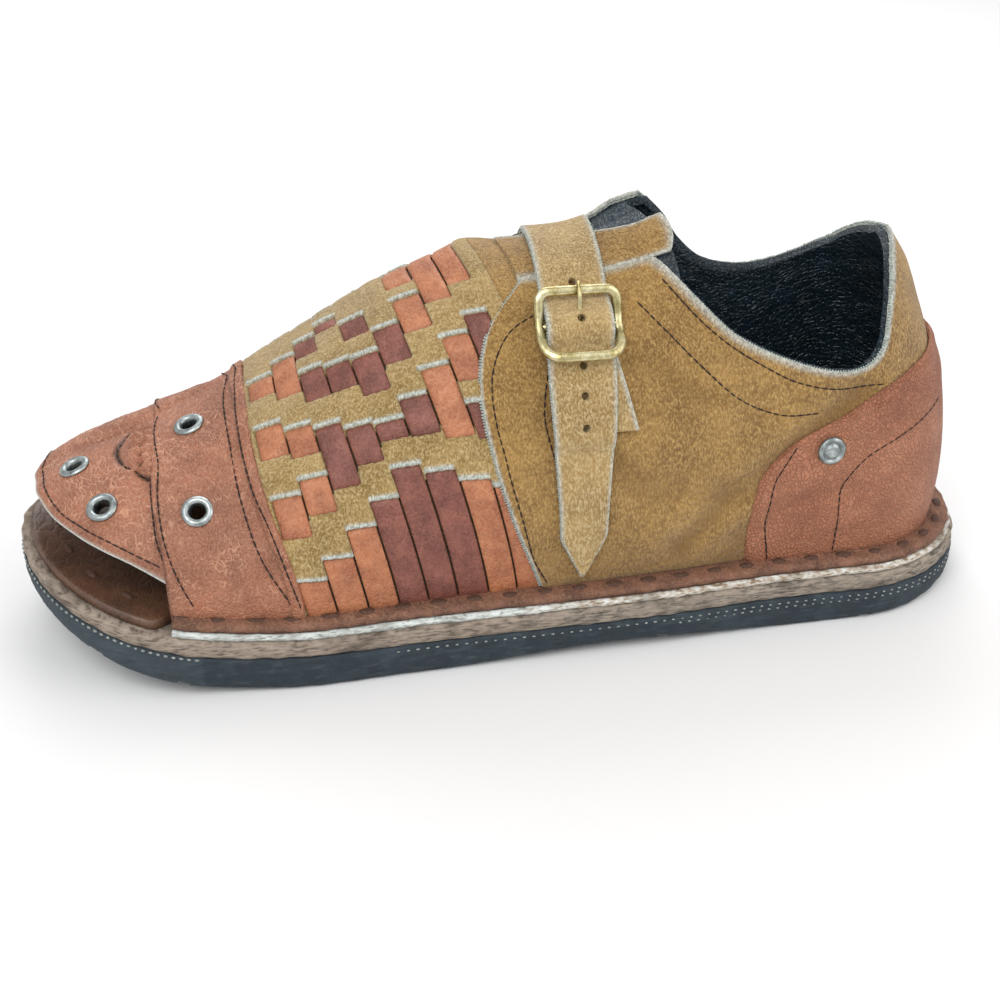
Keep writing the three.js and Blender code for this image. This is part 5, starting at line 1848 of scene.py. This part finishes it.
@dataclass
class Fastening:
    """Strap, centre-bar buckle and the folded tab that holds it."""

    x: float = 14.5
    width: float = 19.3
    thickness: float = 2.0
    slack: float = 0.45
    medial_z: float = 66.0
    tip_z: float = 25.6
    tip_length: float = 14.0
    taper: float = 5.4
    buckle_z: float = 97.0
    frame_width: float = 25.5
    frame_height: float = 22.0
    bar: float = 2.8
    thick: float = 2.4
    bar_z: float = 3.2
    top_z: float = 5.4
    low_z: float = 7.4
    hump: float = 5.3
    bar_radius: float = 1.1
    prong: float = 0.8
    tab_width: float = 17.0
    tab_length: float = 30.0
    tab_lean: float = 8.0
    leather: float = 0.9
    holes: tuple = (12.5, 1.5, -11.0, -19.5, -28.0)

    def __post_init__(self) -> None:
        """Find the buckle's seat."""
        self.seat = wall_seat(self.x, Side.LATERAL, self.buckle_z, QUARTER_FACE)
        self.back = self.seat.inverted()

    def raised(self, up: Array) -> Array:
        """The strap's lift off the quarter, `up` mm above the buckle's middle bar."""
        reach = self.frame_height / 2
        hump = np.where(np.abs(up) < reach, self.hump * np.cos(np.pi * up / (2 * reach)) ** 2, 0)
        tab = clamp((up + self.tab_length + 5) / 4) * clamp(2 - up)
        return np.maximum(hump, (2 * self.leather + 0.4) * tab)

    def rows(self) -> tuple[Array, Array]:
        """Turns of the strap's cross rows from the medial end to the tip, and the lift of each."""
        grow = QUARTER_FACE
        medial = LAST.seen(np.array([[self.x, self.medial_z]]), Side.MEDIAL, grow)[0, 1]
        tip = LAST.seen(np.array([[self.x, self.tip_z]]), Side.LATERAL, grow)[0, 1]
        turn = np.linspace(medial, tip, 190)
        middle = LAST.point(LAST.along_at(self.x, turn, grow), turn, grow)
        up = moved(self.back, middle)[:, 1]
        lift = np.where(turn < 1, self.raised(up), 0.0)
        return turn, lift

    def strap(self) -> None:
        """The suede strap with its raw edges and punched holes."""
        grow = QUARTER_FACE
        turn, lift = self.rows()
        middle = LAST.point(LAST.along_at(self.x, turn, grow), turn, grow)
        run = np.concatenate([[0], np.cumsum(np.linalg.norm(np.diff(middle, axis=0), axis=1))])
        left = run[-1] - run
        half = (self.width - self.taper * ease((62 - left) / 50)) / 2 * clamp(0.05 + left / self.tip_length)
        share = np.linspace(-1, 1, 15)
        x = self.x + half[:, None] * share[None, :]
        t = np.broadcast_to(turn[:, None], x.shape)
        along = LAST.along_at(x.ravel(), t.ravel(), grow).reshape(x.shape)
        points, outs = LAST.lying(np.stack([along, t], -1), grow)
        cup = 0.5 * np.abs(share[None, :]) ** 2 * ease(lift / 2)[:, None] * -0.4
        wear = 0.25 * wander(points, 61, 16.0)
        base = self.slack + lift[:, None] + cup + wear * 0.5
        edge = np.maximum(np.abs(share)[None, :] ** 18, ease((0.6 - left) / 0.6)[:, None])
        fray = border_fray(x.shape, 62) * 0.08 * edge
        outer = points + outs * (base + self.thickness + fray - 0.2 * edge)[..., None]
        inner = points + outs * base[..., None]
        form = shell(outer, inner, marks={"raw": clamp(edge * 0.7)})
        piece = make("strap_suede", form, [STRAP_SUEDE, FLESH_SIDE, RAW_EDGE], Slot.SUEDE, ["strap"], soften=0.3)
        core = (outer + inner) / 2
        fringe("strap_fringe", ((core[:, 0], core[:, 0] - core[:, 3]), (core[:, -1], core[:, -1] - core[:, -4])),
               Slot.SUEDE, 0.9)
        places = []
        up = moved(self.back, middle)[:, 1]
        lateral = turn < 0.995
        for hole in self.holes:
            k = int(np.argmin(np.where(lateral, np.abs(up - hole), 999)))
            point, out = LAST.lying(np.array([[LAST.along_at(self.x, turn[k], grow)[0], turn[k]]]), grow)
            places.append(axes(point[0] + out[0] * (self.slack + lift[k] + 1), Vector((1, 0, 0)), out[0]))
        punch(piece, places, 1.15, 1.9)

    def frame(self) -> None:
        """The cast frame with its middle bar, bowed from side to side."""
        half_w, half_h = (self.frame_width - self.bar) / 2, (self.frame_height - self.bar) / 2
        corners = ((1, 1, 3.0, 0.0), (-1, 1, 3.0, 90.0), (-1, -1, 5.0, 180.0), (1, -1, 5.0, 270.0))
        line = []
        for sx, sy, radius, start in corners:
            for angle in np.radians(np.linspace(start, start + 90, 9)):
                line.append((sx * (half_w - radius) + radius * math.cos(angle),
                             sy * (half_h - radius) + radius * math.sin(angle)))
            if start == 90.0:
                line.extend((-half_w, y) for y in (3.0, 0.0, -3.0))
            elif start == 0.0:
                line.extend((x, half_h) for x in (4.5, 0.0, -4.5))
            elif start == 180.0:
                line.extend((x, -half_h) for x in (-4.0, 0.0, 4.0))
            else:
                line.extend((half_w, y) for y in (-3.0, 0.0, 3.0))
        line = np.array(line)
        end = np.where(line[:, 1] > 0, self.top_z, self.low_z)
        height = self.bar_z + (end - self.bar_z) * np.abs(line[:, 1] / half_h) ** 1.2
        path = np.column_stack([line, height])
        thick = self.thick / 2 * (1 + 0.08 * np.sin(line[:, 0] * 0.9 + 1.0))
        loop = tube(path, self.bar / 2, thick, (0, 0, 1), True, 18, 2.6)
        middle = tube(np.column_stack([np.linspace(-half_w, half_w, 12), np.zeros(12), np.full(12, self.bar_z)]),
                      self.bar_radius, self.bar_radius, (0, 0, 1))
        form = loop.join(middle)
        form.points = moved(self.seat, form.points)
        make("buckle_frame_brass", form, [CAST_BRASS], Slot.BRASS, ["buckle_frame"], weld=0.002)

    def pin(self) -> None:
        """The prong: round the middle bar, up through the strap and over the top bar."""
        radius = self.bar_radius + 0.15 + self.prong
        line = [(radius * math.sin(a), self.bar_z - radius * math.cos(a))
                for a in np.radians([60, 0, -60, -120, -180, -225])]
        top = self.frame_height / 2
        over = self.top_z + self.thick / 2 + 0.15 + self.prong
        line += [(top * 0.55, over - 0.6), (top * 0.8, over), (top + 0.9, over - 0.1)]
        path = through(line, 60)
        path = np.column_stack([np.zeros(len(path)), path])
        size = self.prong * (1 - 0.35 * ease((np.arange(60) - 40) / 20))
        form = tube(path, size, size, (1, 0, 0), sides=12)
        form.points = moved(self.seat, form.points)
        make("buckle_prong_brass", form, [CAST_BRASS], Slot.BRASS, ["buckle_prong"], weld=0.002)

    def floor_under(self, up: Array) -> Array:
        """Height of the quarter's face over the buckle's own plane, `up` mm above its middle."""
        turn = np.linspace(0.05, 1.0, 400)
        face = moved(self.back, LAST.point(LAST.along_at(self.x, turn, QUARTER_FACE), turn, QUARTER_FACE))
        order = np.argsort(face[:, 1])
        return np.interp(up, face[order, 1], face[order, 2])

    def tab(self) -> None:
        """The tab: one strip of leather folded round the middle bar and sewn down on both layers."""
        y = np.linspace(-self.tab_length, -2.2, 40)
        floor = self.floor_under(y) + 0.12
        low = np.column_stack([y, floor + self.leather / 2])
        high = np.column_stack([y, floor + self.leather * 1.5 + 0.06])
        around = self.bar_radius + 0.15 + self.leather / 2
        turn = np.radians(np.linspace(-150, 150, 20))
        bend = np.column_stack([around * np.cos(turn), self.bar_z + around * np.sin(turn)])
        path = through(np.concatenate([low[::3], bend[1:-1], high[::-1][::3]]), 130)
        step = np.gradient(path, axis=0)
        step /= np.linalg.norm(step, axis=1, keepdims=True)
        normal = np.column_stack([step[:, 1], -step[:, 0]])
        share = np.linspace(-1, 1, 11)
        thin = self.leather / 2

        def face(offset: float) -> Array:
            """One face of the folded strip."""
            at = path + normal * offset
            shift = -np.minimum(path[:, 0], 0) / self.tab_length * self.tab_lean
            x = shift[:, None] + self.tab_width / 2 * share[None, :]
            return np.stack([x, np.broadcast_to(at[:, :1], x.shape), np.broadcast_to(at[:, 1:], x.shape)], -1)

        edge = np.abs(share)[None, :] ** 14 * np.ones(len(path))[:, None]
        form = shell(face(thin), face(-thin), marks={"raw": edge * 0.8})
        form.points = moved(self.seat, form.points)
        make("buckle_tab_suede", form, [STRAP_SUEDE, FLESH_SIDE, RAW_EDGE], Slot.SUEDE, ["buckle_tab"], weld=0.002,
             soften=0.15)

    def build(self) -> None:
        """Strap, frame, prong and tab."""
        self.strap()
        self.frame()
        self.pin()
        self.tab()


@dataclass
class Hardware:
    """Eyelets in the toe leather and rivets through the heel counter."""

    toe: Toe
    eyelet_radius: float = 4.7
    eyelet_hole: float = 2.3
    rivet_radius: float = 4.4
    rivet_spot: tuple = (91.0, 58.0)

    def eyelets(self) -> None:
        """Rolled nickel rings with a short barrel."""
        for number, (x, y) in enumerate(EYELET_SPOTS, 1):
            grow = 0.95 if x > -110 else 0.0
            place = self.toe.top.seat(x, y, grow)
            r, h = self.eyelet_radius, self.eyelet_hole
            profile = [(h, -3.4), (h + 0.35, -3.4), (h + 0.35, 0.1), (r, 0.1), (r - 0.05, 0.35), (r - 0.4, 0.75),
                       (r - 1.0, 1.0), (r - 1.6, 0.98), (h + 0.35, 0.6), (h + 0.08, 0.1), (h, -0.8), (h, -3.4)]
            make(f"eyelet_ring_{number}", turned(profile, place), [NICKEL_PLATE], Slot.NICKEL, [f"eyelet_{number}"],
                 weld=0.002)

    def rivets(self) -> None:
        """Capped rivets, a ring pressed round each cap's middle."""
        for side in Side:
            place = wall_seat(self.rivet_spot[0], side, self.rivet_spot[1], COUNTER_FACE)
            r = self.rivet_radius
            profile = [(0, -1.4), (1.3, -1.4), (1.3, 0.2), (r, 0.2), (r + 0.05, 0.6), (r - 0.25, 1.1), (r - 0.8, 1.45),
                       (r - 1.2, 1.5), (r - 1.5, 0.7), (r - 1.9, 0.7), (r - 2.2, 1.6), (1.0, 1.9), (0, 1.92)]
            name = side.name.lower()
            make(f"rivet_cap_{name}", turned(profile, place), [NICKEL_PLATE], Slot.NICKEL, [f"rivet_{name}"],
                 weld=0.002)

    def build(self) -> None:
        """Eyelets and rivets."""
        self.eyelets()
        self.rivets()


# ---- the upper's stitching ----
FLAP_SEAM = ((-141.4, 10.2), (-139.2, -2.4), (-134.7, -12.9), (-127.3, -21.3), (-120.3, -26.6), (-113.8, -30.6),
             (-108.2, -33.3))
CROSS_SEAMS = (
    ((0.157, 0.599), (0.166, 0.476), (0.174, 0.344), (0.178, 0.293), (0.187, 0.14)),
    ((0.117, 0.927), (0.158, 0.676), (0.169, 0.510), (0.179, 0.344), (0.194, 0.128)),
)
BAND_SEAMS = (
    ((0.218, 1.0), (0.216, 0.871), (0.226, 0.633), (0.234, 0.451), (0.249, 0.247), (0.270, 0.093)),
    ((0.230, 1.0), (0.230, 0.918), (0.234, 0.697), (0.245, 0.468), (0.258, 0.327), (0.278, 0.085)),
)
RIM_SEAMS = (
    ((41.4, 107.1), (50.6, 97.6), (59.1, 90.6), (71, 83.2), (80.2, 78.7), (93.1, 75.9), (105.8, 76.3)),
    ((33.7, 101.7), (41.5, 94.2), (50.2, 85.6), (62.3, 75.1), (74.5, 69.7), (86, 68.9)),
)
FRONT_SEAM = ((4.4, 101.2), (-3.9, 97.5), (-8.6, 91.7), (-10.9, 84.3), (-10.3, 74), (-8.4, 65.7), (-6.6, 57.3),
              (-3.7, 46.3), (-0.1, 32.3), (3.8, 24))
STRAP_SEAM = ((6.1, 89.8), (4.1, 81.1), (3.6, 74.4), (5.7, 64.6), (7.6, 57))
COUNTER_SEAMS = (
    ((74.1, 23), (72.4, 33.2), (72.4, 40.1), (73.9, 48.6), (76.8, 53.3), (79.9, 58.4)),
    ((96.2, 23), (96, 31.8), (96, 40.5), (96.3, 45.8), (99.6, 51.2), (103.9, 55), (111.8, 59.1), (118.7, 62.1),
     (128.7, 66)),
)


@dataclass
class Stitching:
    """The dark rows sewn through the upper."""

    toe: Toe
    seam: Seam = Seam(2.5, 2.7, 0.55, 0.4, DARK_THREAD)

    def places(self, line: Sequence[Sequence[float]], grow: float, side: Side) -> Run:
        """A line of along and turn, mirrored for the medial side."""
        path = through(line, 60)
        if side is Side.MEDIAL:
            path = path * [1, -1] + [0, 2]
        points, outs = LAST.lying(path, 0.0)
        return points + outs * grow, outs

    def build(self) -> None:
        """All rows, grouped by what they are sewn through."""
        toe = [self.toe.run(FLAP_SEAM), self.toe.run(FLAP_SEAM, mirrored=True), self.toe.run(PUCKER_EDGE)]
        toe.append(self.places(CROSS_SEAMS[0], 0.35, Side.LATERAL))
        toe += [self.places(CROSS_SEAMS[1], 1.1, side) for side in Side]
        toe += [self.places(line, 1.7, side) for line in BAND_SEAMS[1:] for side in Side]
        toe += [self.places(line, 1.1, side) for line in BAND_SEAMS[:1] for side in Side]
        sew("toe_stitches", toe, self.seam, Slot.LEATHER)
        walls = []
        for side in Side:
            walls += [on_wall(line, side, QUARTER_FACE) for line in RIM_SEAMS]
            walls.append(on_wall(FRONT_SEAM, side, QUARTER_FACE))
        walls.append(on_wall(STRAP_SEAM, Side.LATERAL, QUARTER_FACE))
        sew("quarter_stitches", walls, self.seam, Slot.SUEDE)
        heel = [on_wall(line, side, COUNTER_FACE) for line in COUNTER_SEAMS for side in Side]
        sew("counter_stitches", heel, self.seam, Slot.LEATHER)


# ---- the studio ----
@dataclass
class Studio:
    """Pale floor, soft light and the camera."""

    azimuth: float = -11.0
    elevation: float = 31.0
    distance: float = 0.4337
    target: tuple = (-0.0057, -0.0168, 0.0386)
    lens: float = 51.03
    roll: float = 0.8
    ambient: float = 0.72
    lamps: tuple = (             # name, place, watts, size
        ("key", (-0.45, -0.75, 1.1), 9.0, 0.9),
        ("fill", (0.9, -0.5, 0.8), 4.0, 0.9),
        ("rear", (0.1, 0.9, 0.9), 6.0, 0.8),
    )

    def floor(self) -> None:
        """A wide pale floor."""
        mesh = bpy.data.meshes.new("floor")
        reach = 4.0
        mesh.from_pydata([(-reach, -reach, 0), (reach, -reach, 0), (reach, reach, 0), (-reach, reach, 0)], [],
                         [(0, 1, 2, 3)])
        material = bpy.data.materials.new("pale_floor")
        material.use_nodes = True
        shader = material.node_tree.nodes["Principled BSDF"]
        shader.inputs["Base Color"].default_value = (0.80, 0.80, 0.80, 1)
        shader.inputs["Roughness"].default_value = 0.9
        mesh.materials.append(material)
        plane = bpy.data.objects.new("floor", mesh)
        bpy.context.scene.collection.objects.link(plane)

    def light(self) -> None:
        """A white world and three large soft lamps."""
        scene = bpy.context.scene
        scene.world = bpy.data.worlds.new("studio")
        scene.world.use_nodes = True
        back = scene.world.node_tree.nodes["Background"]
        back.inputs["Color"].default_value = (1, 1, 1, 1)
        back.inputs["Strength"].default_value = self.ambient
        for name, place, watts, size in self.lamps:
            data = bpy.data.lights.new(name, "AREA")
            data.energy, data.size = watts, size
            lamp = bpy.data.objects.new(name, data)
            lamp.location = place
            lamp.rotation_euler = (Vector(self.target) - Vector(place)).to_track_quat("-Z", "Y").to_euler()
            scene.collection.objects.link(lamp)

    def camera(self) -> None:
        """The camera at the shoe's outer side, looking down a little."""
        a, e, r = (math.radians(v) for v in (self.azimuth, self.elevation, self.roll))
        back = Vector((math.sin(a) * math.cos(e), -math.cos(a) * math.cos(e), math.sin(e)))
        right = Vector((math.cos(a), math.sin(a), 0))
        up = back.cross(right)
        x = right * math.cos(r) + up * math.sin(r)
        y = up * math.cos(r) - right * math.sin(r)
        data = bpy.data.cameras.new("camera")
        data.lens, data.sensor_width = self.lens, 36.0
        camera = bpy.data.objects.new("camera", data)
        matrix = Matrix((x, y, back)).transposed().to_4x4()
        matrix.translation = Vector(self.target) + back * self.distance
        camera.matrix_world = matrix
        bpy.context.scene.collection.objects.link(camera)
        bpy.context.scene.camera = camera

    def build(self) -> None:
        """Floor, light and camera."""
        bpy.context.scene.view_settings.view_transform = "Standard"
        self.floor()
        self.light()
        self.camera()


def main() -> None:
    """Build the shoe and the studio, logging each part as it is built."""
    logging.basicConfig(level=logging.INFO, format="%(name)s %(message)s")
    toe = Toe()
    parts = [Sole(), Lining(), *(Quarter(side) for side in Side), Counter(), Weave(), Tongue(), toe, Fastening(),
             Hardware(toe), Stitching(toe), Studio()]
    for part in parts:
        LOG.info("building %s", type(part).__name__)
        part.build()


if __name__ == "__main__":
    main()
